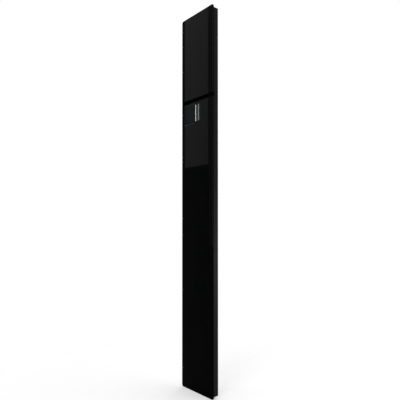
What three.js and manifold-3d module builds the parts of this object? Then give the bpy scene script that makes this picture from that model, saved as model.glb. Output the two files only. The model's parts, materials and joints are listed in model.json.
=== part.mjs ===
// A slim air purifier that hangs on a wall like a tall black glass plank. Room air enters behind the edges
// of the long lower panel, passes a coarse grille and two pleated filters, and rises in a flat channel along
// the wall to a drum blower behind the short upper panel. It leaves through the slot between the two panels.
// The lower panel is a hinged door with the display in it.
// Millimetres, +Z up. The front faces -Y, and the wall is the plane y = 0.
import * as THREE from "three";
import { mergeVertices } from "three/addons/utils/BufferGeometryUtils.js";
import Module from "manifold-3d";

const wasm = await Module();
wasm.setup();

// Front panels
const panelHeight = 2000;
const panelWidth = 260;
const lowerPanelShare = 0.7655;
const slotHeight = 21;
const panelCornerRadius = 11;
const glassThickness = 4;
const glassBevel = 0.6;
const carrierThickness = 2.7;
const carrierSkin = 1.2;
const carrierSetback = 1.5;
const carrierRimWidth = 14;
const carrierRibWidth = 10;
const lowerPocketCount = 6;
const upperPocketCount = 2;
const pocketCornerRadius = 4;

// Housing
const bodyReveal = 10;
const housingDepth = 33.4;
const railWall = 2;
const frontFlangeWidth = 6;
const rearFlangeWidth = 12;
const ribWidth = 6;
const ribThickness = 1.2;
const capThickness = 3;
const capTongueHeight = 8;
const capTongueWall = 1.5;
const dividerFlange = 8;
const sheetThickness = 1.5;
const beadWidth = 14;
const beadFlat = 8;
const beadDepth = 1.3;
const beadSpacing = 84;
const beadFromPlates = 45;
const inletSlotLength = 34;
const inletSlotHeight = 3.6;
const inletSlotPitch = 46;
const inletSlotSetback = 3.2;

// Gaps between pieces, and how far a cutting shape runs past what it cuts
const seatGap = 0.3;
const panelGap = 0.6;
const pinGap = 0.2;
const overrun = 2;

// Wall plates and their hooks
const wallPlateShare = 0.692;
const wallPlateHeight = 60;
const wallPlateThickness = 2;
const wallPlateInset = 50;
const wallScrewRadius = 3;
const wallScrewInset = 14;
const hookWidth = 24;
const hookSpacingShare = 0.423;
const hookNeck = 2.5;
const hookUpstand = 10;
const hookThickness = 2;

// Air path and filters
const rearChannelDepth = 7;
const gasketThickness = 1;
const gasketWidth = 5;
const cartridgeDepth = 11.5;
const cartridgeWall = 5;
const cartridgeSideGap = 8;
const cartridgeLedge = 1;
const pleatPitch = 10;
const pleatDepth = 8;
const pleatSheet = 1.4;
const fingerNotchLength = 60;
const fingerNotchDepth = 2.5;
const prefilterThickness = 1.5;
const prefilterRim = 8;
const prefilterBar = 2.5;
const prefilterColumns = 4;
const prefilterPitch = 64;
const serviceBayHeight = 80;
const displayBayHeight = 128;

// Display and indicator in the door
const displayWidth = 84;
const displayHeight = 90;
const displayFromLeft = 21;
const displayFromTop = 4.5;
const displayModuleMargin = 3;
const indicatorWidth = 38.3;
const indicatorHeight = 86;
const indicatorFromLeft = 116;
const indicatorFromTop = 15.5;
const indicatorPlateThickness = 1.2;
const indicatorFoot = 3;
const leftBarWidth = 5.5;
const rightBarWidth = 8;
const rightBarFromRight = 7.8;

// Door hinges and magnetic catches
const hingeLength = 50;
const hingeKnuckleRadius = 3;
const hingePinRadius = 1.5;
const hingePinHeadRadius = 2.4;
const hingePinHead = 1;
const hingeFromEdge = 5;
const hingeBehindPanel = 4;
const hingeLeafThickness = 1.5;
const hingeMiddleShare = 0.5;
const hingeKnuckleShare = 0.25;
const hingeFromEnds = 150;
const hingePlateDepth = 8;
const magnetWidth = 12;
const magnetHeight = 30;
const magnetFromSide = 4;
const magnetAir = 0.5;
const catchPlateThickness = 1;

// Blower
const impellerShare = 0.2885;
const bladeDepth = 16;
const bladeCount = 40;
const bladeThickness = 1;
const bladeSweep = 12;
const impellerSkin = 1.5;
const impellerClearance = 1.4;
const hubRadius = 30;
const hubWall = 2;
const rotorWall = 1.5;
const rotorGap = 1;
const shaftRadius = 2;
const statorFlangeThickness = 0.9;
const scrollWall = 1.5;
const scrollDepth = 19;
const tongueGap = 6;
const scrollGrowth = 26;
const tongueAngle = -120;
const throatBelowTongue = 7;
const inletInsideBlades = 3;
const inletLip = 1.2;
const inletLipHeight = 1.2;
const blowerHeightShare = 0.384;
const blowerOffset = 8;

// Outlet duct, nozzle and louvre
const ductWall = 1.4;
const ductThroatDepth = 5;
const nozzleWall = 1.5;
const nozzleEndWall = 2.5;
const nozzleInset = 2.2;
const bezelBehindGlass = 0.6;
const nozzleSide = 10;
const motorBayWidth = 26;
const nozzleDepth = 13;
const nozzleFlange = 3;
const vaneCount = 2;
const vaneThickness = 1.6;
const vaneGap = 0.3;
const vanePivotBack = 7.4;
const vanePinRadius = 1.4;
const crankThickness = 1.4;
const crankRadius = 2.2;
const crankArm = 4;
const crankArmWidth = 3;
const crankPinRadius = 0.9;
const crankPinLength = 1.8;
const linkThickness = 1.3;
const linkWidth = 4;
const louvreMotorRadius = 5.5;
const louvreMotorLength = 13;

// Electronics
const boardWidth = 150;
const boardHeightShare = 0.2455;
const boardThickness = 1.6;
const boardFromTop = 22;
const boardBossRadius = 3;
const boardBossInset = 8;
const supplyWidth = 130;
const supplyHeight = 56;
const supplyDepth = 18;
const supplyGroove = 2;
const supplyGroovePitch = 8;
const supplyGrooveMargin = 12;
const inletBodyWidth = 28;
const inletBodyDepth = 20;
const inletBodyHeight = 22;
const inletFlangeWidth = 32;
const inletFlangeDepth = 24;
const inletFlangeThickness = 1.6;
const inletRecessWidth = 24;
const inletRecessDepth = 16;
const inletRecessHeight = 16;
const inletBladeLength = 10;
const inletBladeWidth = 4;
const inletBladeThickness = 2;
const inletBladeSpacing = 7;
const inletSideShare = 0.27;
const mainsLeadRadius = 2.5;
const harnessRadius = 1.6;
const harnessFromHook = 2;
const leadBend = 9;
const harnessBend = 3;
const sensorWidth = 50;
const sensorHeight = 38;
const sensorDepth = 12;
const sensorPortRadius = 3;

// How finely round forms are cut, as counts
const fineSteps = 48;
const midSteps = 24;
const smallSteps = 12;
const cornerSteps = 5;
const bladeSteps = 3;
const scrollSteps = 36;
const elbowSteps = 5;
const leadSides = 8;
const leadSteps = 5;

// Places that follow from the sizes above. Depths are counted from the wall towards the room.
const rearPanelBack = railWall + seatGap;
const rearPanelFront = rearPanelBack + sheetThickness;
const seatBack = rearPanelFront + rearChannelDepth;
const seatFront = seatBack + sheetThickness;
const gasketBack = seatFront + seatGap;
const gasketFront = gasketBack + gasketThickness;
const cartridgeBack = gasketFront + seatGap;
const cartridgeFront = cartridgeBack + cartridgeDepth;
const prefilterBack = cartridgeFront + seatGap;
const prefilterFront = prefilterBack + prefilterThickness;
const coverBack = prefilterFront + seatGap;
const coverFront = coverBack + sheetThickness;
const carrierBack = housingDepth + panelGap;
const carrierFront = carrierBack + carrierThickness;
const glassBack = carrierFront + seatGap;
const glassFront = glassBack + glassThickness;

const lowerPanelHeight = panelHeight * lowerPanelShare;
const halfPanel = panelWidth / 2;
const halfBody = halfPanel - bodyReveal;
const railInner = halfBody - railWall;
const plateHalf = railInner - seatGap;
const frontOpeningHalf = halfBody - frontFlangeWidth;
const coverHalf = frontOpeningHalf - seatGap;
const bodyBottom = bodyReveal;
const bodyTop = panelHeight - bodyReveal;
const railBottom = bodyBottom + capThickness + seatGap;
const railTop = bodyTop - capThickness - seatGap;
const slotTop = lowerPanelHeight + slotHeight;
const upperPanelHeight = panelHeight - slotTop;

const lowerDividerBottom = railBottom + serviceBayHeight;
const bayBottom = lowerDividerBottom + sheetThickness + seatGap;
const upperDividerBottom = lowerPanelHeight - displayBayHeight;
const bayTop = upperDividerBottom - seatGap;
const cartridgeHeight = (bayTop - bayBottom - seatGap) / 2;
const cartridgeHalf = railInner - cartridgeSideGap;
const cartridgeBottoms = [bayBottom, bayBottom + cartridgeHeight + seatGap];
const seatTop = slotTop + nozzleWall + nozzleFlange;
const plenumPlateBottom = seatTop + seatGap;

const hingeX = -halfPanel + hingeFromEdge;
const hingeDepth = carrierBack - hingeBehindPanel;
const hingeHeights = [
  hingeFromEnds,
  lowerPanelHeight * hingeMiddleShare,
  lowerPanelHeight - hingeFromEnds,
];

const wallPlateWidth = panelWidth * wallPlateShare;
const hookSpacing = panelWidth * hookSpacingShare;
const inletX = panelWidth * inletSideShare;
const upperPlateMiddle = bodyTop - wallPlateInset - wallPlateHeight / 2;
const lowerPlateMiddle = bodyBottom + wallPlateInset + wallPlateHeight / 2;

const impellerRadius = panelWidth * impellerShare;
const bladeInnerRadius = impellerRadius - bladeDepth;
const inletRadius = bladeInnerRadius - inletInsideBlades;
const blowerX = blowerOffset;
const blowerZ = slotTop + upperPanelHeight * blowerHeightShare;
const scrollBack = seatFront + seatGap;
const scrollFront = scrollBack + scrollDepth;
const scrollInside = scrollFront - scrollWall;
const tongueRadius = impellerRadius + tongueGap;
const throatZ = blowerZ - tongueRadius - throatBelowTongue;
const scrollRadius = tongueRadius + scrollGrowth;
const throatLeft = blowerX - scrollRadius;
const throatRight = blowerX + tongueRadius * Math.cos(THREE.MathUtils.degToRad(tongueAngle));
const impellerBack = seatFront + inletLipHeight + impellerClearance;
const impellerFront = scrollInside - impellerClearance;

const nozzleFront = housingDepth;
const nozzleBack = nozzleFront - nozzleDepth;
const nozzleLeft = -(railInner - nozzleSide);
const nozzleRight = railInner - motorBayWidth;
const nozzleLow = lowerPanelHeight + nozzleInset;
const nozzleHigh = slotTop - nozzleInset;
const nozzleOpening = nozzleHigh - nozzleLow;
const vaneDepth = nozzleFront - vanePivotBack;
const vaneChord = (nozzleOpening - vaneGap * (vaneCount + 1)) / vaneCount;
const vanePivots = [nozzleLow + vaneGap + vaneChord / 2, nozzleHigh - vaneGap - vaneChord / 2];

// Making solids

// A closed solid from a three.js geometry, with its shared points merged
function solidOf(geometry) {
  const shell = geometry.clone();
  shell.deleteAttribute("normal");
  shell.deleteAttribute("uv");
  const merged = mergeVertices(shell);
  const corners = merged.index.array;
  const kept = [];
  for (let i = 0; i < corners.length; i += 3) {
    const [a, b, c] = [corners[i], corners[i + 1], corners[i + 2]];
    if (a !== b && b !== c && c !== a) kept.push(a, b, c);
  }
  return new wasm.Manifold(new wasm.Mesh({
    numProp: 3,
    vertProperties: new Float32Array(merged.attributes.position.array),
    triVerts: new Uint32Array(kept),
  }));
}

function geometryOf(solid) {
  const mesh = solid.getMesh();
  const geometry = new THREE.BufferGeometry();
  geometry.setAttribute("position", new THREE.BufferAttribute(new Float32Array(mesh.vertProperties), 3));
  geometry.setIndex(new THREE.BufferAttribute(new Uint32Array(mesh.triVerts), 1));
  geometry.computeVertexNormals();
  return geometry;
}

const join = (first, ...others) => others.reduce((sum, other) => sum.add(other), first);
const carve = (base, ...cuts) => cuts.reduce((rest, cut) => rest.subtract(cut), base);

// Outlines swept along one axis. Points are x and z, depth and z, or x and depth.
function sweep(points, length, along, across, up, start) {
  const shape = new THREE.Shape(points.map(([u, v]) => new THREE.Vector2(u, v)));
  const geometry = new THREE.ExtrudeGeometry(shape, { depth: length, bevelEnabled: false });
  const turn = new THREE.Matrix4().makeBasis(across, up, along);
  geometry.applyMatrix4(turn);
  geometry.translate(start.x, start.y, start.z);
  return solidOf(geometry);
}

const xAxis = new THREE.Vector3(1, 0, 0);
const yAxis = new THREE.Vector3(0, 1, 0);
const zAxis = new THREE.Vector3(0, 0, 1);
const outward = new THREE.Vector3(0, -1, 0);

function prismDeep(points, back, front) {
  return sweep(points, front - back, outward, xAxis, zAxis, new THREE.Vector3(0, -back, 0));
}

function prismWide(points, left, right) {
  const turned = points.map(([depth, z]) => [-depth, z]);
  return sweep(turned, right - left, xAxis, yAxis, zAxis, new THREE.Vector3(left, 0, 0));
}

function prismTall(points, bottom, top) {
  const turned = points.map(([x, depth]) => [x, -depth]);
  return sweep(turned, top - bottom, zAxis, xAxis, yAxis, new THREE.Vector3(0, 0, bottom));
}

// A plain block between two values of x, of depth and of z
function block(left, right, back, front, bottom, top) {
  const geometry = new THREE.BoxGeometry(right - left, front - back, top - bottom);
  geometry.translate((left + right) / 2, -(back + front) / 2, (bottom + top) / 2);
  return solidOf(geometry);
}

function ring(u, v, radius, steps) {
  const points = [];
  for (let i = 0; i < steps; i += 1) {
    const angle = (i / steps) * Math.PI * 2;
    points.push([u + radius * Math.cos(angle), v + radius * Math.sin(angle)]);
  }
  return points;
}

// A rectangle's outline with rounded corners; the radii run bottom left, bottom right, top right, top left
function roundedOutline(left, right, bottom, top, radii) {
  const corners = [
    [left, bottom, 1, 1, Math.PI],
    [right, bottom, -1, 1, Math.PI * 1.5],
    [right, top, -1, -1, 0],
    [left, top, 1, -1, Math.PI / 2],
  ];
  return corners.flatMap(([x, z, inX, inZ, start], n) => {
    const radius = radii[n];
    if (radius === 0) return [[x, z]];
    return Array.from({ length: cornerSteps + 1 }, (_, i) => {
      const angle = start + (i / cornerSteps) * (Math.PI / 2);
      return [
        x + inX * radius + radius * Math.cos(angle),
        z + inZ * radius + radius * Math.sin(angle),
      ];
    });
  });
}

const evenRadii = (radius) => [radius, radius, radius, radius];

// A closed profile of radius and depth turned about an axis that runs from the wall to the room. Its points
// run outwards along the wall side first.
function turned(profile, x, z, steps) {
  const points = profile.map(([radius, depth]) => new THREE.Vector2(radius, -depth));
  points.push(points[0].clone());
  points.reverse();
  const geometry = new THREE.LatheGeometry(points, steps);
  geometry.translate(x, 0, z);
  return solidOf(geometry);
}

// Finishes, by the look of each piece
const finishes = {
  blackGlass: { color: 0x08090a, roughness: 0.04, metalness: 0 },
  carrierBlack: { color: 0x0c0c0d, roughness: 0.45, metalness: 0.2 },
  housingGrey: { color: 0x2a2a2b, roughness: 0.5, metalness: 0.6 },
  zincSteel: { color: 0x9a9da0, roughness: 0.4, metalness: 0.9 },
  blackPlastic: { color: 0x101011, roughness: 0.6, metalness: 0 },
  palePlastic: { color: 0xd8d9d6, roughness: 0.5, metalness: 0 },
  filterPaper: { color: 0xeeefec, roughness: 0.9, metalness: 0 },
  sealRubber: { color: 0x1b1b1b, roughness: 0.85, metalness: 0 },
  displayGlass: { color: 0x191d20, roughness: 0.08, metalness: 0 },
  indicatorGrey: { color: 0x373737, roughness: 0.4, metalness: 0.1 },
  satinDark: { color: 0x5e605f, roughness: 0.4, metalness: 0.9 },
  satinMetal: { color: 0x8e908f, roughness: 0.3, metalness: 0.9 },
  boardGreen: { color: 0x1d4a33, roughness: 0.5, metalness: 0 },
};

function piece(group, name, solid, finish) {
  const mesh = new THREE.Mesh(geometryOf(solid), new THREE.MeshStandardMaterial(finishes[finish]));
  mesh.name = name;
  group.add(mesh);
}

// Front panels

// Glass with a fine ground bevel round its front and back edges
function glassSheet(bottom, top, radii) {
  const outline = roundedOutline(
    -halfPanel + glassBevel, halfPanel - glassBevel, bottom + glassBevel, top - glassBevel, radii,
  );
  const shape = new THREE.Shape(outline.map(([x, z]) => new THREE.Vector2(x, z)));
  const geometry = new THREE.ExtrudeGeometry(shape, {
    depth: glassThickness - glassBevel * 2,
    bevelThickness: glassBevel,
    bevelSize: glassBevel,
    bevelSegments: 1,
  });
  geometry.applyMatrix4(new THREE.Matrix4().makeBasis(xAxis, zAxis, outward));
  geometry.translate(0, -(glassBack + glassBevel), 0);
  return solidOf(geometry);
}

// A tray behind the glass: a skin with a rim and cross ribs towards the housing
function carrierTray(bottom, top, radii, pocketCount) {
  const left = -halfPanel + carrierSetback;
  const right = halfPanel - carrierSetback;
  const outline = roundedOutline(left, right, bottom + carrierSetback, top - carrierSetback, radii);
  let tray = prismDeep(outline, carrierBack, carrierFront);
  const pocketsBottom = bottom + carrierSetback + carrierRimWidth;
  const pocketsTop = top - carrierSetback - carrierRimWidth;
  const pitch = (pocketsTop - pocketsBottom + carrierRibWidth) / pocketCount;
  for (let n = 0; n < pocketCount; n += 1) {
    const low = pocketsBottom + n * pitch;
    const pocket = roundedOutline(
      left + carrierRimWidth, right - carrierRimWidth, low, low + pitch - carrierRibWidth,
      evenRadii(pocketCornerRadius),
    );
    tray = carve(tray, prismDeep(pocket, carrierBack - overrun, carrierFront - carrierSkin));
  }
  return tray;
}

const displayBox = {
  left: -halfPanel + displayFromLeft,
  right: -halfPanel + displayFromLeft + displayWidth,
  bottom: lowerPanelHeight - displayFromTop - displayHeight,
  top: lowerPanelHeight - displayFromTop,
};
const indicatorBox = {
  left: -halfPanel + indicatorFromLeft,
  right: -halfPanel + indicatorFromLeft + indicatorWidth,
  bottom: lowerPanelHeight - indicatorFromTop - indicatorHeight,
  top: lowerPanelHeight - indicatorFromTop,
};

function boxed(area, margin, back, front) {
  return block(
    area.left - margin, area.right + margin, back, front, area.bottom - margin, area.top + margin,
  );
}

function buildUpperPanel(group) {
  const radii = [0, 0, panelCornerRadius, panelCornerRadius];
  piece(group, "upper_glass", glassSheet(slotTop, panelHeight, radii), "blackGlass");
  piece(group, "upper_carrier", carrierTray(slotTop, panelHeight, radii, upperPocketCount), "carrierBlack");
}

function buildDoorPanel(group) {
  const radii = [panelCornerRadius, panelCornerRadius, 0, 0];
  const glass = carve(
    glassSheet(0, lowerPanelHeight, radii),
    boxed(displayBox, seatGap, glassBack - overrun, glassFront + overrun),
    boxed(indicatorBox, seatGap, glassBack - overrun, glassFront + overrun),
  );
  piece(group, "lower_glass", glass, "blackGlass");
  let carrier = carve(
    carrierTray(0, lowerPanelHeight, radii, lowerPocketCount),
    boxed(displayBox, -displayModuleMargin + seatGap, carrierBack - overrun, carrierFront + overrun),
  );
  for (const height of catchHeights) {
    carrier = carve(carrier, catchBlock(height, carrierBack - overrun, catchSeat, seatGap));
  }
  piece(group, "lower_carrier", carrier, "carrierBlack");
}

function buildDisplay(group) {
  piece(group, "display_pane", boxed(displayBox, 0, glassBack, glassFront), "displayGlass");
  const module = join(
    boxed(displayBox, -displayModuleMargin, carrierBack, carrierFront),
    boxed(displayBox, -displayModuleMargin * 2, carrierBack - panelGap, carrierBack + panelGap),
  );
  piece(group, "display_module", module, "blackPlastic");
}

function buildIndicator(group) {
  const plateFront = glassBack + indicatorPlateThickness;
  const frame = carve(
    boxed(indicatorBox, 0, glassBack, glassFront - indicatorPlateThickness),
    block(
      indicatorBox.left + leftBarWidth / 2, indicatorBox.right - indicatorPlateThickness,
      plateFront, glassFront, indicatorBox.bottom + indicatorFoot, indicatorBox.top - indicatorFoot,
    ),
    indicatorSlot(indicatorBox.left, leftBarWidth, seatGap),
    indicatorSlot(rightBarLeft, rightBarWidth, seatGap),
  );
  piece(group, "indicator_plate", frame, "indicatorGrey");
  piece(group, "indicator_bar_left", indicatorSlot(indicatorBox.left, leftBarWidth, 0), "satinMetal");
  piece(group, "indicator_bar_right", indicatorSlot(rightBarLeft, rightBarWidth, 0), "satinDark");
}

const rightBarLeft = indicatorBox.right - rightBarFromRight - rightBarWidth;

// The room that one upright bar takes, standing on the indicator's plate, or the seat cut for it
function indicatorSlot(left, width, gap) {
  return block(
    left - gap, left + width + gap, glassBack + indicatorPlateThickness + seatGap - gap, glassFront,
    indicatorBox.bottom - gap, indicatorBox.top + gap,
  );
}

// Housing

// A rail is a channel with flanges front and back and a rib that carries the partition plates
function railOutline(side) {
  const points = [
    [halfBody, 0],
    [halfBody, housingDepth],
    [halfBody - frontFlangeWidth, housingDepth],
    [halfBody - frontFlangeWidth, housingDepth - railWall],
    [railInner, housingDepth - railWall],
    [railInner, seatBack - seatGap],
    [railInner - ribWidth, seatBack - seatGap],
    [railInner - ribWidth, seatBack - seatGap - ribThickness],
    [railInner, seatBack - seatGap - ribThickness],
    [railInner, railWall],
    [halfBody - rearFlangeWidth, railWall],
    [halfBody - rearFlangeWidth, 0],
  ];
  return points.map(([x, depth]) => [side * x, depth]);
}

function inletSlotHeights() {
  const usable = bayTop - bayBottom - inletSlotLength;
  const count = Math.floor(usable / inletSlotPitch) + 1;
  const first = bayBottom + (usable - (count - 1) * inletSlotPitch) / 2;
  return Array.from({ length: count }, (_, n) => first + n * inletSlotPitch).filter(
    (low) => hingeHeights.every(
      (middle) => Math.abs(low + inletSlotLength / 2 - middle) > (hingeLength + inletSlotLength) / 2,
    ),
  );
}

function buildRails(group) {
  for (const [name, side] of [["left_rail", -1], ["right_rail", 1]]) {
    let rail = prismTall(railOutline(side), railBottom, railTop);
    const slotFront = housingDepth - inletSlotSetback;
    const edges = [side * (railInner - overrun), side * (halfBody + overrun)].sort((a, b) => a - b);
    for (const low of inletSlotHeights()) {
      const slot = block(
        edges[0], edges[1], slotFront - inletSlotHeight, slotFront, low, low + inletSlotLength,
      );
      rail = carve(rail, slot);
    }
    piece(group, name, rail, "housingGrey");
  }
}

function hookSlots(plateMiddle) {
  return [-1, 1].map((side) => {
    const x = (side * hookSpacing) / 2;
    const reach = hookWidth / 2 + seatGap;
    const low = plateMiddle - hookNeck / 2 - hookUpstand - seatGap;
    const high = plateMiddle + hookNeck / 2 + seatGap;
    return block(x - reach, x + reach, 0, rearPanelFront + overrun, low, high);
  });
}

function buildRearPanel(group) {
  const panel = carve(
    block(-plateHalf, plateHalf, rearPanelBack, rearPanelFront, railBottom, railTop),
    ...hookSlots(upperPlateMiddle),
    ...hookSlots(lowerPlateMiddle),
  );
  const bosses = boardCorners().map(([x, z]) => (
    prismDeep(ring(x, z, boardBossRadius, smallSteps), rearPanelBack, seatFront)
  ));
  const sides = [-1, 1];
  const ridges = sides.map((side) => bead(side, rearPanelBack));
  const hollows = sides.map((side) => bead(side, rearPanelFront));
  piece(group, "rear_panel", carve(join(panel, ...ridges, ...bosses), ...hollows), "zincSteel");
}

// A long stiffening bead pressed into the rear panel towards the wall, with sloping sides
function bead(side, face) {
  const x = (side * beadSpacing) / 2;
  const outline = [
    [x - beadWidth / 2, face],
    [x - beadFlat / 2, face - beadDepth],
    [x + beadFlat / 2, face - beadDepth],
    [x + beadWidth / 2, face],
  ];
  const low = lowerPlateMiddle + wallPlateHeight / 2 + beadFromPlates;
  const high = upperPlateMiddle - wallPlateHeight / 2 - beadFromPlates;
  return prismTall(outline, low, high);
}

function buildCaps(group) {
  const topPlate = bodyTop - capThickness;
  const top = join(
    block(-halfBody, halfBody, 0, housingDepth, topPlate, bodyTop),
    capTongue(topPlate - capTongueHeight, topPlate),
  );
  piece(group, "top_cap", top, "housingGrey");
  const bottomPlate = bodyBottom + capThickness;
  const hole = block(
    inletX - inletBodyWidth / 2 - seatGap, inletX + inletBodyWidth / 2 + seatGap,
    inletMiddleDepth - inletBodyDepth / 2 - seatGap, inletMiddleDepth + inletBodyDepth / 2 + seatGap,
    bodyBottom - overrun, bottomPlate + capTongueHeight + overrun,
  );
  const bottom = carve(
    join(
      block(-halfBody, halfBody, 0, housingDepth, bodyBottom, bottomPlate),
      capTongue(bottomPlate, bottomPlate + capTongueHeight),
    ),
    hole,
  );
  piece(group, "bottom_cap", bottom, "housingGrey");
}

// A three-sided wall that locates a cap between the rails, open towards the wall
function capTongue(low, high) {
  const half = frontOpeningHalf - seatGap;
  const front = housingDepth;
  const back = seatFront + seatGap;
  return carve(
    block(-half, half, back, front, low, high),
    block(-half + capTongueWall, half - capTongueWall, back - overrun, front - capTongueWall, low, high),
  );
}

const inletMiddleDepth = housingDepth / 2;

// Wall plates: a flat plate for two wall screws, with two upright hooks that pass through the rear panel
function buildWallPlates(group) {
  const plates = [["upper_wall_plate", upperPlateMiddle], ["lower_wall_plate", lowerPlateMiddle]];
  for (const [name, middle] of plates) {
    const half = wallPlateWidth / 2;
    const low = middle - wallPlateHeight / 2;
    const high = middle + wallPlateHeight / 2;
    const hookBack = rearPanelFront + seatGap;
    const neckLow = middle - hookNeck / 2;
    const hooks = [-1, 1].flatMap((side) => {
      const left = (side * hookSpacing) / 2 - hookWidth / 2;
      const right = left + hookWidth;
      return [
        block(left, right, 0, hookBack + hookThickness, neckLow, neckLow + hookNeck),
        block(left, right, hookBack, hookBack + hookThickness, neckLow, neckLow + hookNeck + hookUpstand),
      ];
    });
    const holes = [-1, 1].map((side) => prismDeep(
      ring(side * (half - wallScrewInset), middle, wallScrewRadius, midSteps),
      -overrun, wallPlateThickness + overrun,
    ));
    const plate = join(
      block(-half, half, 0, wallPlateThickness, low, high),
      ...hooks,
    );
    piece(group, name, carve(plate, ...holes), "zincSteel");
  }
}

// Inner plates

function buildPartitions(group) {
  const windowHalf = cartridgeHalf - gasketWidth - seatGap;
  let seat = block(-plateHalf, plateHalf, seatBack, seatFront, lowerDividerBottom, seatTop);
  for (const low of cartridgeBottoms) {
    seat = carve(seat, block(
      -windowHalf, windowHalf, seatBack - overrun, seatFront + overrun,
      low + gasketWidth + seatGap, low + cartridgeHeight - gasketWidth - seatGap,
    ));
  }
  piece(group, "filter_seat", seat, "zincSteel");
  const dividers = [
    ["lower_divider", lowerDividerBottom, lowerDividerBottom - dividerFlange],
    ["upper_divider", upperDividerBottom, upperDividerBottom],
  ];
  for (const [name, low, flangeLow] of dividers) {
    const back = seatFront + seatGap;
    const plate = join(
      block(-plateHalf, plateHalf, back, prefilterFront, low, low + sheetThickness),
      block(
        -coverHalf, coverHalf, back, back + sheetThickness, flangeLow,
        flangeLow + dividerFlange + sheetThickness,
      ),
    );
    piece(group, name, plate, "zincSteel");
  }
}

function buildCovers(group) {
  const covers = [
    ["service_cover", railBottom + capTongueHeight, lowerDividerBottom + sheetThickness],
    ["display_bay_cover", upperDividerBottom, lowerPanelHeight - nozzleFlange - panelGap],
  ];
  for (const [name, low, high] of covers) {
    piece(group, name, block(-coverHalf, coverHalf, coverBack, coverFront, low, high), "blackPlastic");
  }
}

// Filters: a picture-frame cartridge with a pleated sheet in it, on a soft seal, and a coarse grille in front
function buildFilters(group) {
  const windowHalf = cartridgeHalf - gasketWidth;
  ["lower", "upper"].forEach((which, n) => {
    const low = cartridgeBottoms[n];
    const high = low + cartridgeHeight;
    const seal = carve(
      block(-cartridgeHalf, cartridgeHalf, gasketBack, gasketFront, low, high),
      block(
        -windowHalf, windowHalf, gasketBack - overrun, gasketFront + overrun,
        low + gasketWidth, high - gasketWidth,
      ),
    );
    piece(group, `filter_seal_${which}`, seal, "sealRubber");
    buildCartridge(group, which, low, high);
    buildPrefilter(group, which, low, high);
  });
}

function buildCartridge(group, which, low, high) {
  const innerHalf = cartridgeHalf - cartridgeWall;
  const innerLow = low + cartridgeWall;
  const innerHigh = high - cartridgeWall;
  const ledgeHalf = innerHalf - cartridgeLedge;
  const ledgeFront = cartridgeBack + cartridgeLedge;
  const middle = (low + high) / 2;
  const notches = [-1, 1].map((side) => block(
    side * cartridgeHalf - fingerNotchDepth, side * cartridgeHalf + fingerNotchDepth,
    cartridgeFront - cartridgeDepth / 2, cartridgeFront + overrun,
    middle - fingerNotchLength / 2, middle + fingerNotchLength / 2,
  ));
  const frame = carve(
    block(-cartridgeHalf, cartridgeHalf, cartridgeBack, cartridgeFront, low, high),
    block(-innerHalf, innerHalf, ledgeFront, cartridgeFront + overrun, innerLow, innerHigh),
    block(
      -ledgeHalf, ledgeHalf, cartridgeBack - overrun, ledgeFront + overrun,
      innerLow + cartridgeLedge, innerHigh - cartridgeLedge,
    ),
    ...notches,
  );
  piece(group, `filter_frame_${which}`, frame, "palePlastic");
  const mediaHalf = innerHalf - seatGap;
  const media = prismWide(
    pleatOutline(innerLow + seatGap, innerHigh - seatGap, ledgeFront + seatGap), -mediaHalf, mediaHalf,
  );
  piece(group, `filter_media_${which}`, media, "filterPaper");
}

// The side outline of a sheet folded to and fro, going up its room side and back down its wall side
function pleatOutline(low, high, back) {
  const count = Math.max(1, Math.round((high - low) / pleatPitch));
  const half = (high - low) / count / 2;
  const folds = Array.from({ length: count * 2 + 1 }, (_, n) => [
    back + (n % 2) * pleatDepth,
    low + n * half,
  ]);
  const roomSide = folds.map(([depth, z]) => [depth + pleatSheet, z]);
  return [...roomSide, ...folds.reverse()];
}

function buildPrefilter(group, which, low, high) {
  const innerLow = low + prefilterRim;
  const innerHigh = high - prefilterRim;
  const innerHalf = cartridgeHalf - prefilterRim;
  const rows = Math.max(1, Math.round((innerHigh - innerLow) / prefilterPitch));
  const rowPitch = (innerHigh - innerLow + prefilterBar) / rows;
  const columnPitch = (innerHalf * 2 + prefilterBar) / prefilterColumns;
  let grille = block(-cartridgeHalf, cartridgeHalf, prefilterBack, prefilterFront, low, high);
  for (let row = 0; row < rows; row += 1) {
    for (let column = 0; column < prefilterColumns; column += 1) {
      const left = -innerHalf + column * columnPitch;
      const bottom = innerLow + row * rowPitch;
      grille = carve(grille, block(
        left, left + columnPitch - prefilterBar, prefilterBack - overrun, prefilterFront + overrun,
        bottom, bottom + rowPitch - prefilterBar,
      ));
    }
  }
  piece(group, `prefilter_${which}`, grille, "blackPlastic");
}

// Blower

// The snail-shell outline, opening downwards on the left, grown outwards by the wall where asked
function scrollOutline(grow, bottom) {
  const points = [];
  for (let i = 0; i <= scrollSteps; i += 1) {
    const share = i / scrollSteps;
    const angle = THREE.MathUtils.degToRad(tongueAngle + share * (180 - tongueAngle));
    const radius = tongueRadius + scrollGrowth * share + grow;
    points.push([blowerX + radius * Math.cos(angle), blowerZ + radius * Math.sin(angle)]);
  }
  points.push([throatLeft - grow, bottom]);
  points.push([throatRight + grow, bottom]);
  return points;
}

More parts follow.
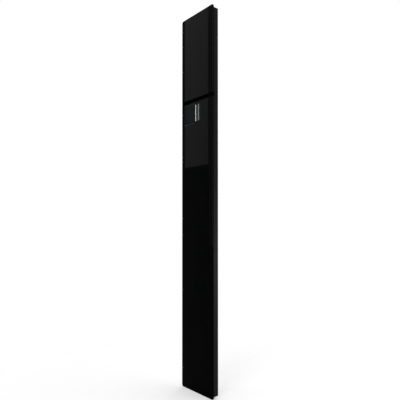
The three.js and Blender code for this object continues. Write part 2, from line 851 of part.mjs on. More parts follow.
function buildBlower(group) {
  const shell = carve(
    prismDeep(scrollOutline(scrollWall, throatZ), scrollBack, scrollFront),
    prismDeep(scrollOutline(0, throatZ - overrun), scrollBack - overrun, scrollInside),
  );
  piece(group, "blower_scroll", shell, "blackPlastic");

  const plateTop = blowerZ + scrollRadius;
  const bellmouth = turned([
    [inletRadius, seatBack],
    [inletRadius + inletLip, seatBack],
    [inletRadius + inletLip, seatFront + inletLipHeight],
    [inletRadius, seatFront + inletLipHeight],
  ], blowerX, blowerZ, fineSteps);
  const plate = carve(
    block(-plateHalf, plateHalf, seatBack, seatFront, plenumPlateBottom, plateTop),
    prismDeep(
      ring(blowerX, blowerZ, inletRadius + inletLip / 2, fineSteps), seatBack - overrun, seatFront + overrun,
    ),
  );
  piece(group, "blower_inlet_plate", join(plate, bellmouth), "zincSteel");

  const flangeFront = scrollInside - seatGap;
  const flangeBack = flangeFront - statorFlangeThickness;
  const coreRadius = hubRadius - hubWall - rotorWall - rotorGap;
  const coreBack = rotorInside + rotorGap;
  const boreRadius = shaftRadius + pinGap;
  const stator = turned([
    [boreRadius, coreBack],
    [coreRadius, coreBack],
    [coreRadius, flangeBack],
    [hubRadius, flangeBack],
    [hubRadius, flangeFront],
    [boreRadius, flangeFront],
  ], blowerX, blowerZ, midSteps);
  piece(group, "motor_stator", stator, "zincSteel");
}

const rotorInside = impellerBack + hubWall + seatGap + rotorWall;

// The drum: a rear ring and a front disc joined by forward-curved blades, with a cup for the motor
function buildImpeller(group) {
  const rear = turned([
    [bladeInnerRadius, impellerBack],
    [impellerRadius, impellerBack],
    [impellerRadius, impellerBack + impellerSkin],
    [bladeInnerRadius, impellerBack + impellerSkin],
  ], blowerX, blowerZ, fineSteps);
  const disc = turned([
    [shaftRadius, impellerBack],
    [hubRadius, impellerBack],
    [hubRadius, impellerFront - impellerSkin],
    [impellerRadius, impellerFront - impellerSkin],
    [impellerRadius, impellerFront],
    [hubRadius - hubWall, impellerFront],
    [hubRadius - hubWall, impellerBack + hubWall],
    [shaftRadius, impellerBack + hubWall],
  ], blowerX, blowerZ, fineSteps);
  const blades = Array.from({ length: bladeCount }, (_, n) => prismDeep(
    bladeOutline((n / bladeCount) * Math.PI * 2),
    impellerBack + impellerSkin / 2, impellerFront - impellerSkin / 2,
  ));
  piece(group, "impeller", join(rear, disc, ...blades), "blackPlastic");

  const rotorOuter = hubRadius - hubWall - seatGap;
  const rotorBack = impellerBack + hubWall + seatGap;
  const rotor = turned([
    [0, rotorBack],
    [rotorOuter, rotorBack],
    [rotorOuter, impellerFront],
    [rotorOuter - rotorWall, impellerFront],
    [rotorOuter - rotorWall, rotorInside],
    [shaftRadius, rotorInside],
    [shaftRadius, scrollInside - seatGap],
    [0, scrollInside - seatGap],
  ], blowerX, blowerZ, midSteps);
  piece(group, "motor_rotor", rotor, "zincSteel");
}

// One blade's section: an arc from the inner to the outer circle that leans forwards at its tip
function bladeOutline(start) {
  const sweepAngle = THREE.MathUtils.degToRad(bladeSweep);
  const innerRadius = bladeInnerRadius + bladeThickness / 2;
  const outerRadius = impellerRadius - bladeThickness / 2;
  const side = (offset) => Array.from({ length: bladeSteps + 1 }, (_, i) => {
    const share = i / bladeSteps;
    const radius = innerRadius + (outerRadius - innerRadius) * share;
    const angle = start + sweepAngle * share * share + offset / radius;
    return [blowerX + radius * Math.cos(angle), blowerZ + radius * Math.sin(angle)];
  });
  return [...side(bladeThickness / 2), ...side(-bladeThickness / 2).reverse()];
}

// Outlet

// Side outline of the duct: down from the blower, narrowing, then round an elbow to face the room
function ductSide(grow, top) {
  const back = scrollBack + ductWall - grow;
  const neckFront = scrollBack + ductWall + ductThroatDepth + grow;
  const topFront = scrollInside - seatGap - ductWall + grow;
  const mouth = nozzleBack - seatGap;
  const floor = nozzleLow + ductWall - grow;
  const ceiling = nozzleHigh - ductWall + grow;
  const bend = mouth - back;
  const elbow = Array.from({ length: elbowSteps + 1 }, (_, i) => {
    const angle = (i / elbowSteps) * (Math.PI / 2);
    return [mouth - bend * Math.sin(angle), floor + bend * (1 - Math.cos(angle))];
  });
  return [
    [topFront, top],
    [neckFront, slotTop + bend],
    [neckFront, ceiling],
    [mouth, ceiling],
    ...elbow,
    [back, top],
  ];
}

// Front outline of the duct: from the blower's throat it spreads to the nozzle's width
function ductFront(grow, top) {
  const low = nozzleLow - overrun;
  const spread = slotTop + nozzleOpening;
  return [
    [nozzleLeft - grow, low],
    [nozzleRight + grow, low],
    [nozzleRight + grow, spread],
    [throatRight + grow, top],
    [throatLeft - grow, top],
    [nozzleLeft - grow, spread],
  ];
}

function buildDuct(group) {
  const top = throatZ - seatGap;
  const wide = halfPanel;
  const outer = prismWide(ductSide(ductWall, top), -wide, wide).intersect(
    prismDeep(ductFront(ductWall, top), 0, glassFront),
  );
  const inner = prismWide(ductSide(0, top + overrun), -wide, wide).intersect(
    prismDeep(ductFront(0, top + overrun), 0, glassFront),
  );
  const mouth = nozzleBack - seatGap;
  const opening = block(
    nozzleLeft, nozzleRight, mouth - overrun, mouth + overrun,
    nozzleLow + ductWall, nozzleHigh - ductWall,
  );
  piece(group, "outlet_duct", carve(outer, inner, opening), "blackPlastic");
}

function buildNozzle(group) {
  const endLeft = nozzleLeft - nozzleEndWall;
  const endRight = nozzleRight + nozzleEndWall;
  const body = join(
    block(endLeft, endRight, nozzleBack, nozzleFront, nozzleLow - nozzleWall, nozzleHigh + nozzleWall),
    block(
      -coverHalf, coverHalf, nozzleFront - nozzleWall, nozzleFront,
      lowerPanelHeight - nozzleFlange, slotTop + nozzleFlange,
    ),
  );
  const throat = block(
    nozzleLeft, nozzleRight, nozzleBack - overrun, nozzleFront + overrun, nozzleLow, nozzleHigh,
  );
  const seats = vanePivots.flatMap((z) => {
    const radius = vanePinRadius + pinGap;
    const round = prismWide(
      ring(vaneDepth, z, radius, smallSteps), endLeft - overrun, endRight + overrun,
    );
    const entry = block(
      endLeft - overrun, endRight + overrun, nozzleBack - overrun, vaneDepth, z - radius, z + radius,
    );
    return [round, entry];
  });
  piece(group, "outlet_nozzle", carve(body, throat, ...seats), "blackPlastic");
}

// A frame between the two panels, as wide as they are, that closes the slot's ends and lines its mouth
function buildBezel(group) {
  const half = halfPanel - seatGap;
  const back = nozzleFront + seatGap;
  const front = glassFront - bezelBehindGlass;
  const frame = carve(
    block(-half, half, back, front, lowerPanelHeight + panelGap, slotTop - seatGap),
    block(nozzleLeft, nozzleRight, back - overrun, front + overrun, nozzleLow, nozzleHigh),
  );
  piece(group, "outlet_bezel", frame, "blackPlastic");
}

// A louvre vane with a rounded lens section, a pin at each end and a crank arm outside the left end wall
function buildVane(group, name, z) {
  const half = vaneChord / 2;
  const outline = Array.from({ length: smallSteps }, (_, i) => {
    const angle = (i / smallSteps) * Math.PI * 2;
    return [vaneDepth + (vaneThickness / 2) * Math.cos(angle), z + half * Math.sin(angle)];
  });
  const vane = prismWide(outline, nozzleLeft + seatGap, nozzleRight - seatGap);
  const pin = prismWide(
    ring(vaneDepth, z, vanePinRadius, smallSteps), crankLeft, nozzleRight + nozzleEndWall,
  );
  const boss = prismWide(ring(vaneDepth, z, crankRadius, smallSteps), crankLeft, crankLeft + crankThickness);
  const arm = block(
    crankLeft, crankLeft + crankThickness, vaneDepth - crankArm, vaneDepth,
    z - crankArmWidth / 2, z + crankArmWidth / 2,
  );
  const crankPin = prismWide(
    ring(vaneDepth - crankArm, z, crankPinRadius, smallSteps),
    crankLeft - crankPinLength, crankLeft + crankThickness,
  );
  const armEnd = prismWide(
    ring(vaneDepth - crankArm, z, crankArmWidth / 2, smallSteps), crankLeft, crankLeft + crankThickness,
  );
  piece(group, name, join(vane, pin, boss, arm, armEnd, crankPin), "blackPlastic");
}

const crankLeft = nozzleLeft - nozzleEndWall - seatGap - crankThickness;

function buildLink(group) {
  const depth = vaneDepth - crankArm;
  const right = crankLeft - seatGap;
  const left = right - linkThickness;
  const reach = linkWidth / 2;
  const bar = join(
    block(left, right, depth - reach, depth + reach, vanePivots[0], vanePivots[1]),
    ...vanePivots.map((z) => prismWide(ring(depth, z, reach, smallSteps), left, right)),
  );
  const holes = vanePivots.map((z) => prismWide(
    ring(depth, z, crankPinRadius + pinGap, smallSteps), left - overrun, right + overrun,
  ));
  piece(group, "louvre_link", carve(bar, ...holes), "satinMetal");
}

function buildLouvreMotor(group) {
  const left = nozzleRight + nozzleEndWall + seatGap;
  const can = prismWide(
    ring(vaneDepth, vanePivots[0], louvreMotorRadius, midSteps), left, left + louvreMotorLength,
  );
  piece(group, "louvre_motor", can, "zincSteel");
}

// Electronics

const boardHeight = upperPanelHeight * boardHeightShare;
const boardBox = {
  left: -boardWidth / 2,
  right: boardWidth / 2,
  bottom: bodyTop - boardFromTop - boardHeight,
  top: bodyTop - boardFromTop,
};

function boardCorners() {
  return [
    [boardBox.left + boardBossInset, boardBox.bottom + boardBossInset],
    [boardBox.right - boardBossInset, boardBox.bottom + boardBossInset],
    [boardBox.left + boardBossInset, boardBox.top - boardBossInset],
    [boardBox.right - boardBossInset, boardBox.top - boardBossInset],
  ];
}

// Parts on the control board: left, bottom, width and height as shares of the board, and height off it as a
// share of the free depth
const boardPartShares = [
  [0.1, 0.62, 0.2, 0.26, 0.25],
  [0.42, 0.6, 0.14, 0.22, 0.2],
  [0.7, 0.56, 0.2, 0.3, 0.85],
  [0.14, 0.14, 0.1, 0.28, 0.9],
  [0.34, 0.14, 0.28, 0.16, 0.5],
  [0.72, 0.14, 0.14, 0.2, 0.65],
];

function buildControlBoard(group) {
  const back = seatFront + seatGap;
  const front = back + boardThickness;
  const room = carrierBack - panelGap - front;
  const parts = boardPartShares.map(([left, low, width, height, tall]) => block(
    boardBox.left + left * boardWidth, boardBox.left + (left + width) * boardWidth,
    front - boardThickness / 2, front + tall * room,
    boardBox.bottom + low * boardHeight, boardBox.bottom + (low + height) * boardHeight,
  ));
  piece(group, "control_board", join(boxed(boardBox, 0, back, front), ...parts), "boardGreen");
}

const supplyBack = rearPanelFront + seatGap;
const supplyRight = inletX - inletBodyWidth / 2 - leadBend * 2;
const supplyBottom = railBottom + capTongueHeight + seatGap;
const supplyTop = supplyBottom + supplyHeight;

function buildPowerSupply(group) {
  const left = supplyRight - supplyWidth;
  let box = block(left, supplyRight, supplyBack, supplyBack + supplyDepth, supplyBottom, supplyTop);
  const usable = supplyWidth - supplyGrooveMargin * 2 - supplyGroove;
  const count = Math.floor(usable / supplyGroovePitch) + 1;
  const first = left + (supplyWidth - supplyGroove - (count - 1) * supplyGroovePitch) / 2;
  const front = supplyBack + supplyDepth;
  for (let n = 0; n < count; n += 1) {
    const x = first + n * supplyGroovePitch;
    box = carve(box, block(
      x, x + supplyGroove, front - supplyGroove, front + overrun,
      supplyBottom + supplyGrooveMargin, supplyTop - supplyGrooveMargin,
    ));
  }
  piece(group, "power_supply", box, "zincSteel");
}

function buildMainsInlet(group) {
  const low = bodyBottom - seatGap;
  const middle = inletMiddleDepth;
  const body = join(
    block(
      inletX - inletBodyWidth / 2, inletX + inletBodyWidth / 2,
      middle - inletBodyDepth / 2, middle + inletBodyDepth / 2, low, low + inletBodyHeight,
    ),
    block(
      inletX - inletFlangeWidth / 2, inletX + inletFlangeWidth / 2,
      middle - inletFlangeDepth / 2, middle + inletFlangeDepth / 2, low - inletFlangeThickness, low,
    ),
  );
  const recess = block(
    inletX - inletRecessWidth / 2, inletX + inletRecessWidth / 2,
    middle - inletRecessDepth / 2, middle + inletRecessDepth / 2,
    low - inletFlangeThickness - overrun, low + inletRecessHeight,
  );
  const blades = [-1, 0, 1].map((place) => {
    const x = inletX + place * inletBladeSpacing;
    const depth = middle + (place === 0 ? inletBladeThickness : -inletBladeThickness);
    const root = low + inletRecessHeight;
    return block(
      x - inletBladeThickness / 2, x + inletBladeThickness / 2,
      depth - inletBladeWidth / 2, depth + inletBladeWidth / 2,
      root - inletBladeLength, root + seatGap,
    );
  });
  piece(group, "mains_inlet", join(carve(body, recess), ...blades), "blackPlastic");
}

// A round lead in one plane, along straight runs with rounded bends; the points are x, depth and z
function lead(points, radius, bend, normal) {
  const corners = points.map(([x, depth, z]) => new THREE.Vector3(x, -depth, z));
  const stops = [{ at: corners[0], along: corners[1].clone().sub(corners[0]).normalize() }];
  for (let n = 1; n < corners.length - 1; n += 1) {
    const before = corners[n - 1].clone().sub(corners[n]).normalize();
    const after = corners[n + 1].clone().sub(corners[n]).normalize();
    const curve = new THREE.QuadraticBezierCurve3(
      corners[n].clone().addScaledVector(before, bend),
      corners[n],
      corners[n].clone().addScaledVector(after, bend),
    );
    for (let i = 0; i <= leadSteps; i += 1) {
      stops.push({ at: curve.getPoint(i / leadSteps), along: curve.getTangent(i / leadSteps) });
    }
  }
  const last = corners.length - 1;
  stops.push({ at: corners[last], along: corners[last].clone().sub(corners[last - 1]).normalize() });
  return leadThrough(stops, radius, normal);
}

// A closed tube with one ring of points at each stop and a flat cap at both ends
function leadThrough(stops, radius, normal) {
  const positions = stops.flatMap(({ at, along }) => {
    const across = new THREE.Vector3().crossVectors(along, normal);
    return ring(0, 0, radius, leadSides).flatMap(([u, v]) => (
      at.clone().addScaledVector(normal, u).addScaledVector(across, v).toArray()
    ));
  });
  const faces = [];
  for (let n = 0; n < stops.length - 1; n += 1) {
    for (let i = 0; i < leadSides; i += 1) {
      const next = (i + 1) % leadSides;
      const [a, b] = [n * leadSides + i, n * leadSides + next];
      const [c, d] = [a + leadSides, b + leadSides];
      faces.push(a, b, c, b, d, c);
    }
  }
  const end = (stops.length - 1) * leadSides;
  for (let i = 1; i < leadSides - 1; i += 1) {
    faces.push(0, i + 1, i);
    faces.push(end, end + i, end + i + 1);
  }
  const geometry = new THREE.BufferGeometry();
  geometry.setAttribute("position", new THREE.BufferAttribute(new Float32Array(positions), 3));
  geometry.setIndex(faces);
  return solidOf(geometry);
}

function buildLeads(group) {
  const inletTop = bodyBottom + inletBodyHeight;
  const mains = lead([
    [inletX, inletMiddleDepth, inletTop],
    [inletX, inletMiddleDepth, inletTop + leadBend * 2],
    [supplyRight + seatGap, inletMiddleDepth, inletTop + leadBend * 2],
  ], mainsLeadRadius, leadBend, yAxis);
  piece(group, "mains_lead", mains, "sealRubber");
  const run = rearPanelFront + seatGap + harnessRadius * 2;
  const boardMiddle = seatFront + seatGap + boardThickness / 2;
  const harness = lead([
    [harnessX, run, supplyTop + seatGap],
    [harnessX, run, boardBox.bottom - leadBend * 2],
    [harnessX, boardMiddle, boardBox.bottom - leadBend],
    [harnessX, boardMiddle, boardBox.bottom - seatGap],
  ], harnessRadius, harnessBend, xAxis);
  piece(group, "board_lead", harness, "sealRubber");
}

const harnessX = -(hookSpacing + hookWidth) / 2 - harnessRadius - harnessFromHook;

function buildDustSensor(group) {
  const right = railInner - sensorHeight / 2;
  const back = seatFront + seatGap;
  const middle = (upperDividerBottom + lowerPanelHeight) / 2;
  const body = block(
    right - sensorWidth, right, back, back + sensorDepth,
    middle - sensorHeight / 2, middle + sensorHeight / 2,
  );
  const port = prismDeep(
    ring(right - sensorWidth / 2, middle, sensorPortRadius, midSteps),
    back + sensorDepth / 2, back + sensorDepth + overrun,
  );
  piece(group, "dust_sensor", carve(body, port), "zincSteel");
}

// Hinges and catches

const hingeNames = ["lower", "middle", "upper"];

function knuckle(low, high) {
  return carve(
    prismTall(ring(hingeX, hingeDepth, hingeKnuckleRadius, smallSteps), low, high),
    prismTall(ring(hingeX, hingeDepth, hingePinRadius + pinGap, smallSteps), low - overrun, high + overrun),
  );
}

function buildHingeBracket(group, name, middle) {
  const low = middle - hingeLength / 2;
  const high = middle + hingeLength / 2;
  const reach = hingeLength * hingeKnuckleShare;
  const right = -halfBody - seatGap;
  const left = right - hingeLeafThickness;
  const plate = block(left, right, hingeDepth - hingePlateDepth, hingeDepth + hingeKnuckleRadius, low, high);
  const ends = [[low, low + reach], [high - reach, high]].map(([from, to]) => join(
    knuckle(from, to),
    block(
      hingeX + hingePinRadius + pinGap * 2, right, hingeDepth - hingeKnuckleRadius / 2,
      hingeDepth + hingeKnuckleRadius / 2, from, to,
    ),
  ));
  const clear = prismTall(
    ring(hingeX, hingeDepth, hingeKnuckleRadius + seatGap, smallSteps), low + reach, high - reach,
  );
  piece(group, `hinge_bracket_${name}`, join(carve(plate, clear), ...ends), "zincSteel");
  const pin = join(
    prismTall(ring(hingeX, hingeDepth, hingePinRadius, smallSteps), low, high + seatGap),
    prismTall(
      ring(hingeX, hingeDepth, hingePinHeadRadius, smallSteps), high + seatGap, high + seatGap + hingePinHead,
    ),
  );
  piece(group, `hinge_pin_${name}`, pin, "zincSteel");
}

function buildHingeLeaf(group, name, middle) {
  const reach = hingeLength / 2 - hingeLength * hingeKnuckleShare - seatGap;
  const low = middle - reach;
  const high = middle + reach;
  const front = carrierBack - seatGap;
  const back = front - hingeLeafThickness;
  const leaf = block(
    -halfPanel + carrierSetback, hingeX + hingeKnuckleRadius, back, front, low, high,
  );
  const clear = prismTall(
    ring(hingeX, hingeDepth, hingePinRadius + pinGap, smallSteps), low - overrun, high + overrun,
  );
  piece(group, `hinge_leaf_${name}`, join(carve(leaf, clear), knuckle(low, high)), "zincSteel");
}

const catchHeights = [
  (railBottom + capTongueHeight + lowerDividerBottom) / 2,
  (upperDividerBottom + lowerPanelHeight) / 2,
];
const catchSeat = carrierBack + catchPlateThickness + seatGap;

function catchBlock(height, back, front, gap) {
  const right = coverHalf - magnetFromSide;
  return block(
    right - magnetWidth - gap, right + gap, back, front, height - magnetHeight / 2 - gap,
    height + magnetHeight / 2 + gap,
  );
}

function buildMagnets(group) {
  ["lower", "upper"].forEach((name, n) => {
    const magnet = catchBlock(catchHeights[n], coverFront + seatGap, carrierBack - magnetAir, 0);
    piece(group, `catch_magnet_${name}`, magnet, "sealRubber");
  });
}

function buildCatchPlates(group) {
  ["lower", "upper"].forEach((name, n) => {
    const plate = catchBlock(catchHeights[n], carrierBack, catchSeat - seatGap, 0);
    piece(group, `catch_plate_${name}`, plate, "zincSteel");
  });
}

// The whole object. The origin is the middle of the upper wall plate, on the wall.
const purifier = new THREE.Group();
const housing = new THREE.Group();
const door = new THREE.Group();
const blowerDrum = new THREE.Group();
const louvre = new THREE.Group();
purifier.add(housing, door, blowerDrum, louvre);
purifier.position.set(0, 0, -upperPlateMiddle);

buildWallPlates(housing);
buildRearPanel(housing);
buildRails(housing);
buildCaps(housing);
buildUpperPanel(housing);
buildPartitions(housing);
buildCovers(housing);
buildFilters(housing);
buildBlower(housing);
buildDuct(housing);
buildNozzle(housing);
buildBezel(housing);
buildLouvreMotor(housing);
buildControlBoard(housing);
buildPowerSupply(housing);
buildMainsInlet(housing);
buildLeads(housing);
buildDustSensor(housing);
buildMagnets(housing);
hingeNames.forEach((name, n) => buildHingeBracket(housing, name, hingeHeights[n]));

buildDoorPanel(door);
buildDisplay(door);
buildIndicator(door);
buildCatchPlates(door);
hingeNames.forEach((name, n) => buildHingeLeaf(door, name, hingeHeights[n]));

buildImpeller(blowerDrum);
["lower", "upper"].forEach((name, n) => buildVane(louvre, `louvre_vane_${name}`, vanePivots[n]));
buildLink(louvre);

export default purifier;
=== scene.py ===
import json
import math

import bmesh
import bpy
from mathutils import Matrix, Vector


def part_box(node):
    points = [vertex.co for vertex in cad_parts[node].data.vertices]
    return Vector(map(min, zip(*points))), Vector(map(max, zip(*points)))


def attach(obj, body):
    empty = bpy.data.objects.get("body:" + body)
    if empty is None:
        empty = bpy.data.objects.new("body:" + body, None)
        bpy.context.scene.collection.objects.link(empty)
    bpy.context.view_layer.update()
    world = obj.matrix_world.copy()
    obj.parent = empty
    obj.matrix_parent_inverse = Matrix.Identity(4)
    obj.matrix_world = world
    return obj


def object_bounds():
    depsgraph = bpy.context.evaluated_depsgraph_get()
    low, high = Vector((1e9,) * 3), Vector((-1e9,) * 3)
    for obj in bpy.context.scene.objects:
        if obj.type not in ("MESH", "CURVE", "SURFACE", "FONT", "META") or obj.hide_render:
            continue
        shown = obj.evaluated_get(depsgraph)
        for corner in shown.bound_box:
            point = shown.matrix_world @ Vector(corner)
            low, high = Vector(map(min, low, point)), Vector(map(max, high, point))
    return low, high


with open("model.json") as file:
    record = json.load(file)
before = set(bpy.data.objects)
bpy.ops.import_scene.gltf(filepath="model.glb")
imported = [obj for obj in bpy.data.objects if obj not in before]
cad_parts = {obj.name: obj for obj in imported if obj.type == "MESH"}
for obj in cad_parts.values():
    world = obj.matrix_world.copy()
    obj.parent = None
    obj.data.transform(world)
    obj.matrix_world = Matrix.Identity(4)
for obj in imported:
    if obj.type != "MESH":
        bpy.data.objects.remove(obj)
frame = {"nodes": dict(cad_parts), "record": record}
CAD_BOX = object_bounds()
NODES = frame["nodes"]


# Camera

SENSOR_WIDTH = 36.0
LENS = 38.79
UPWARD_SHIFT = 0.056
NEAR_CLIP = 0.05
FAR_CLIP = 60.0
CAMERA_PLACE = (1.7627, -1.4674, -1.0468)
CAMERA_YAW = 0.8835
CAMERA_PITCH = 0.0128


def make_camera():
    """The photograph's view: from the front right, nearly level, with a little upward shift."""
    data = bpy.data.cameras.new("camera")
    data.sensor_width = SENSOR_WIDTH
    data.lens = LENS
    data.shift_y = UPWARD_SHIFT
    data.clip_start = NEAR_CLIP
    data.clip_end = FAR_CLIP
    cam = bpy.data.objects.new("camera", data)
    bpy.context.collection.objects.link(cam)
    level = math.cos(CAMERA_PITCH)
    forward = Vector((
        -math.sin(CAMERA_YAW) * level, math.cos(CAMERA_YAW) * level, math.sin(CAMERA_PITCH),
    ))
    cam.location = CAMERA_PLACE
    cam.rotation_mode = "QUATERNION"
    cam.rotation_quaternion = forward.to_track_quat("-Z", "Y")
    bpy.context.scene.camera = cam


make_camera()


# Places, in millimetres: x, depth from the wall, and height

MM_PER_METRE = 1000.0
FRONT = (0, -1, 0)
BACK = (0, 1, 0)
UP = (0, 0, 1)
DOWN = (0, 0, -1)
LEFT = (-1, 0, 0)


def point(x, depth, z):
    """A place in metres, as Blender counts it."""
    return Vector((x / MM_PER_METRE, -depth / MM_PER_METRE, z / MM_PER_METRE))


def span(node):
    """A CAD node's sides at rest: its lowest and highest x, depth and height."""
    lo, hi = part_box(node)
    x = (lo[0] * MM_PER_METRE, hi[0] * MM_PER_METRE)
    depth = (-hi[1] * MM_PER_METRE, -lo[1] * MM_PER_METRE)
    z = (lo[2] * MM_PER_METRE, hi[2] * MM_PER_METRE)
    return x, depth, z


def middle(pair):
    return (pair[0] + pair[1]) / 2


def around(centre, half):
    return (centre - half, centre + half)


def inset(pair, by):
    """Two sides, each moved towards the other."""
    return (pair[0] + by, pair[1] - by)


def share_of(pair, share):
    """The place that lies a share of the way from the first side to the second."""
    return pair[0] + share * (pair[1] - pair[0])


# Material kit

# A wave texture of scale 1 repeats after this length.
WAVE_UNIT = 0.314159


class Mat:
    """A node material with a few short helpers. The sizes of textures are in millimetres."""

    def __init__(self, name):
        self.mat = bpy.data.materials.new(name)
        self.mat.use_nodes = True
        self.tree = self.mat.node_tree
        self.tree.nodes.clear()
        out = self.tree.nodes.new("ShaderNodeOutputMaterial")
        self.bsdf = self.tree.nodes.new("ShaderNodeBsdfPrincipled")
        self.link(self.bsdf.outputs[0], out.inputs["Surface"])
        coord = self.tree.nodes.new("ShaderNodeTexCoord")
        self.mm = self.tree.nodes.new("ShaderNodeMapping")
        self.mm.inputs["Scale"].default_value = (MM_PER_METRE, MM_PER_METRE, MM_PER_METRE)
        self.link(coord.outputs["Object"], self.mm.inputs["Vector"])

    def link(self, a, b):
        self.tree.links.new(a, b)

    def set(self, **values):
        """Values that are the same all over, set on the shader's own sockets."""
        names = {
            "ior": "IOR",
            "spec": "Specular IOR Level",
            "metal": "Metallic",
            "sheen": "Sheen Weight",
        }
        for key, value in values.items():
            self.bsdf.inputs[names[key]].default_value = value
        return self

    def to(self, socket, value):
        self.link(value, self.bsdf.inputs[socket])

    def coords(self, stretch):
        """Places in millimetres; a stretch below 1 draws a texture out along that axis."""
        if stretch == (1, 1, 1):
            return self.mm.outputs[0]
        m = self.tree.nodes.new("ShaderNodeMapping")
        m.inputs["Scale"].default_value = stretch
        self.link(self.mm.outputs[0], m.inputs["Vector"])
        return m.outputs[0]

    def noise(self, size, detail=3.0, stretch=(1, 1, 1), rough=0.5):
        """Noise with features about size millimetres across."""
        n = self.tree.nodes.new("ShaderNodeTexNoise")
        n.inputs["Scale"].default_value = 1.0 / size
        n.inputs["Detail"].default_value = detail
        n.inputs["Roughness"].default_value = rough
        self.link(self.coords(stretch), n.inputs["Vector"])
        return n.outputs["Fac"]

    def voronoi(self, size, stretch):
        n = self.tree.nodes.new("ShaderNodeTexVoronoi")
        n.inputs["Scale"].default_value = 1.0 / size
        self.link(self.coords(stretch), n.inputs["Vector"])
        return n

    def cells(self, size):
        """The distance from the middle of cells about size millimetres across."""
        return self.voronoi(size, (1, 1, 1)).outputs["Distance"]

    def grains(self, size, stretch=(1, 1, 1)):
        """A flat random value in each cell, like the shades of zinc crystals."""
        split = self.tree.nodes.new("ShaderNodeSeparateColor")
        self.link(self.voronoi(size, stretch).outputs["Color"], split.inputs[0])
        return split.outputs[0]

    def wave(self, pitch, direction, distortion=0.0):
        """Soft stripes, pitch millimetres apart along an axis."""
        n = self.tree.nodes.new("ShaderNodeTexWave")
        n.bands_direction = direction
        n.inputs["Scale"].default_value = WAVE_UNIT / pitch
        n.inputs["Distortion"].default_value = distortion
        self.link(self.mm.outputs[0], n.inputs["Vector"])
        return n.outputs["Fac"]

    def in_front_of(self, depth):
        """1 where the surface lies further from the wall than this depth, else 0."""
        split = self.tree.nodes.new("ShaderNodeSeparateXYZ")
        self.link(self.mm.outputs[0], split.inputs[0])
        return self.calc("LESS_THAN", split.outputs[1], -depth)

    def turned_from_front(self):
        """0 on faces that look to the front or the back, 1 on faces square to them."""
        coord = self.tree.nodes.new("ShaderNodeTexCoord")
        split = self.tree.nodes.new("ShaderNodeSeparateXYZ")
        self.link(coord.outputs["Normal"], split.inputs[0])
        along = self.calc("ABSOLUTE", split.outputs[1])
        return self.remap(along, 0.35, 0.95, 1.0, 0.0)

    def edges(self, radius_mm):
        """Near 1 on sharp edges and 0 on flats, from the bevelled normal."""
        bevel = self.tree.nodes.new("ShaderNodeBevel")
        bevel.samples = 4
        bevel.inputs["Radius"].default_value = radius_mm / MM_PER_METRE
        geo = self.tree.nodes.new("ShaderNodeNewGeometry")
        dot = self.tree.nodes.new("ShaderNodeVectorMath")
        dot.operation = "DOT_PRODUCT"
        self.link(bevel.outputs[0], dot.inputs[0])
        self.link(geo.outputs["Normal"], dot.inputs[1])
        return self.remap(dot.outputs["Value"], 1.0, 0.75, 0.0, 1.0)

    def remap(self, value, lo, hi, out_lo, out_hi):
        """A value between lo and hi, spread over out_lo to out_hi and held there beyond them."""
        n = self.tree.nodes.new("ShaderNodeMapRange")
        n.inputs["From Min"].default_value = lo
        n.inputs["From Max"].default_value = hi
        n.inputs["To Min"].default_value = out_lo
        n.inputs["To Max"].default_value = out_hi
        self.link(value, n.inputs["Value"])
        return n.outputs[0]

    def calc(self, op, a, b=0.0):
        """One step of arithmetic; a plain number may stand for either value."""
        n = self.tree.nodes.new("ShaderNodeMath")
        n.operation = op
        for socket, v in zip(n.inputs, (a, b)):
            if isinstance(v, (int, float)):
                socket.default_value = v
            else:
                self.link(v, socket)
        return n.outputs[0]

    def blend(self, fac, a, b):
        """From a, where fac is 0, to b, where it is 1; each is a colour or a socket."""
        n = self.tree.nodes.new("ShaderNodeMix")
        n.data_type = "RGBA"
        self.link(fac, n.inputs[0])
        for socket, v in ((n.inputs[6], a), (n.inputs[7], b)):
            if isinstance(v, tuple):
                socket.default_value = (*v, 1.0)
            else:
                self.link(v, socket)
        return n.outputs[2]

    def bump(self, height, strength, distance):
        n = self.tree.nodes.new("ShaderNodeBump")
        n.inputs["Strength"].default_value = strength
        n.inputs["Distance"].default_value = distance
        self.link(height, n.inputs["Height"])
        return n.outputs[0]


def scaled(color, by):
    """A colour made darker or paler, no channel above 1."""
    return tuple(min(1.0, c * by) for c in color)


# Materials

def black_glass():
    """Back-painted mirror-gloss glass: faint wiping smears, a little dust, duller ground edges."""
    face_gloss = 0.008
    edge_gloss = 0.004
    clean = (0.0005, 0.0006, 0.0007)
    hazy = (0.0013, 0.0014, 0.0015)
    m = Mat("black_glass").set(ior=1.5)
    ground = m.turned_from_front()
    smear = m.noise(60.0, 4.0, (1.0, 1.0, 0.4), 0.6)
    smeared = m.remap(smear, 0.35, 0.75, 0.012, 0.05)
    dusty = m.remap(m.noise(2.2, 2.0), 0.62, 0.8, 0.0, 0.05)
    rough = m.calc("ADD", smeared, dusty)
    m.to("Roughness", m.calc("ADD", rough, m.remap(ground, 0.0, 1.0, 0.0, 0.3)))
    m.to("Specular IOR Level", m.remap(ground, 0.0, 1.0, face_gloss, edge_gloss))
    m.to("Base Color", m.blend(m.remap(smear, 0.45, 0.8, 0.0, 1.0), clean, hazy))
    m.to("Normal", m.bump(m.noise(180.0, 1.0), 0.02, 0.0004))
    return m.mat


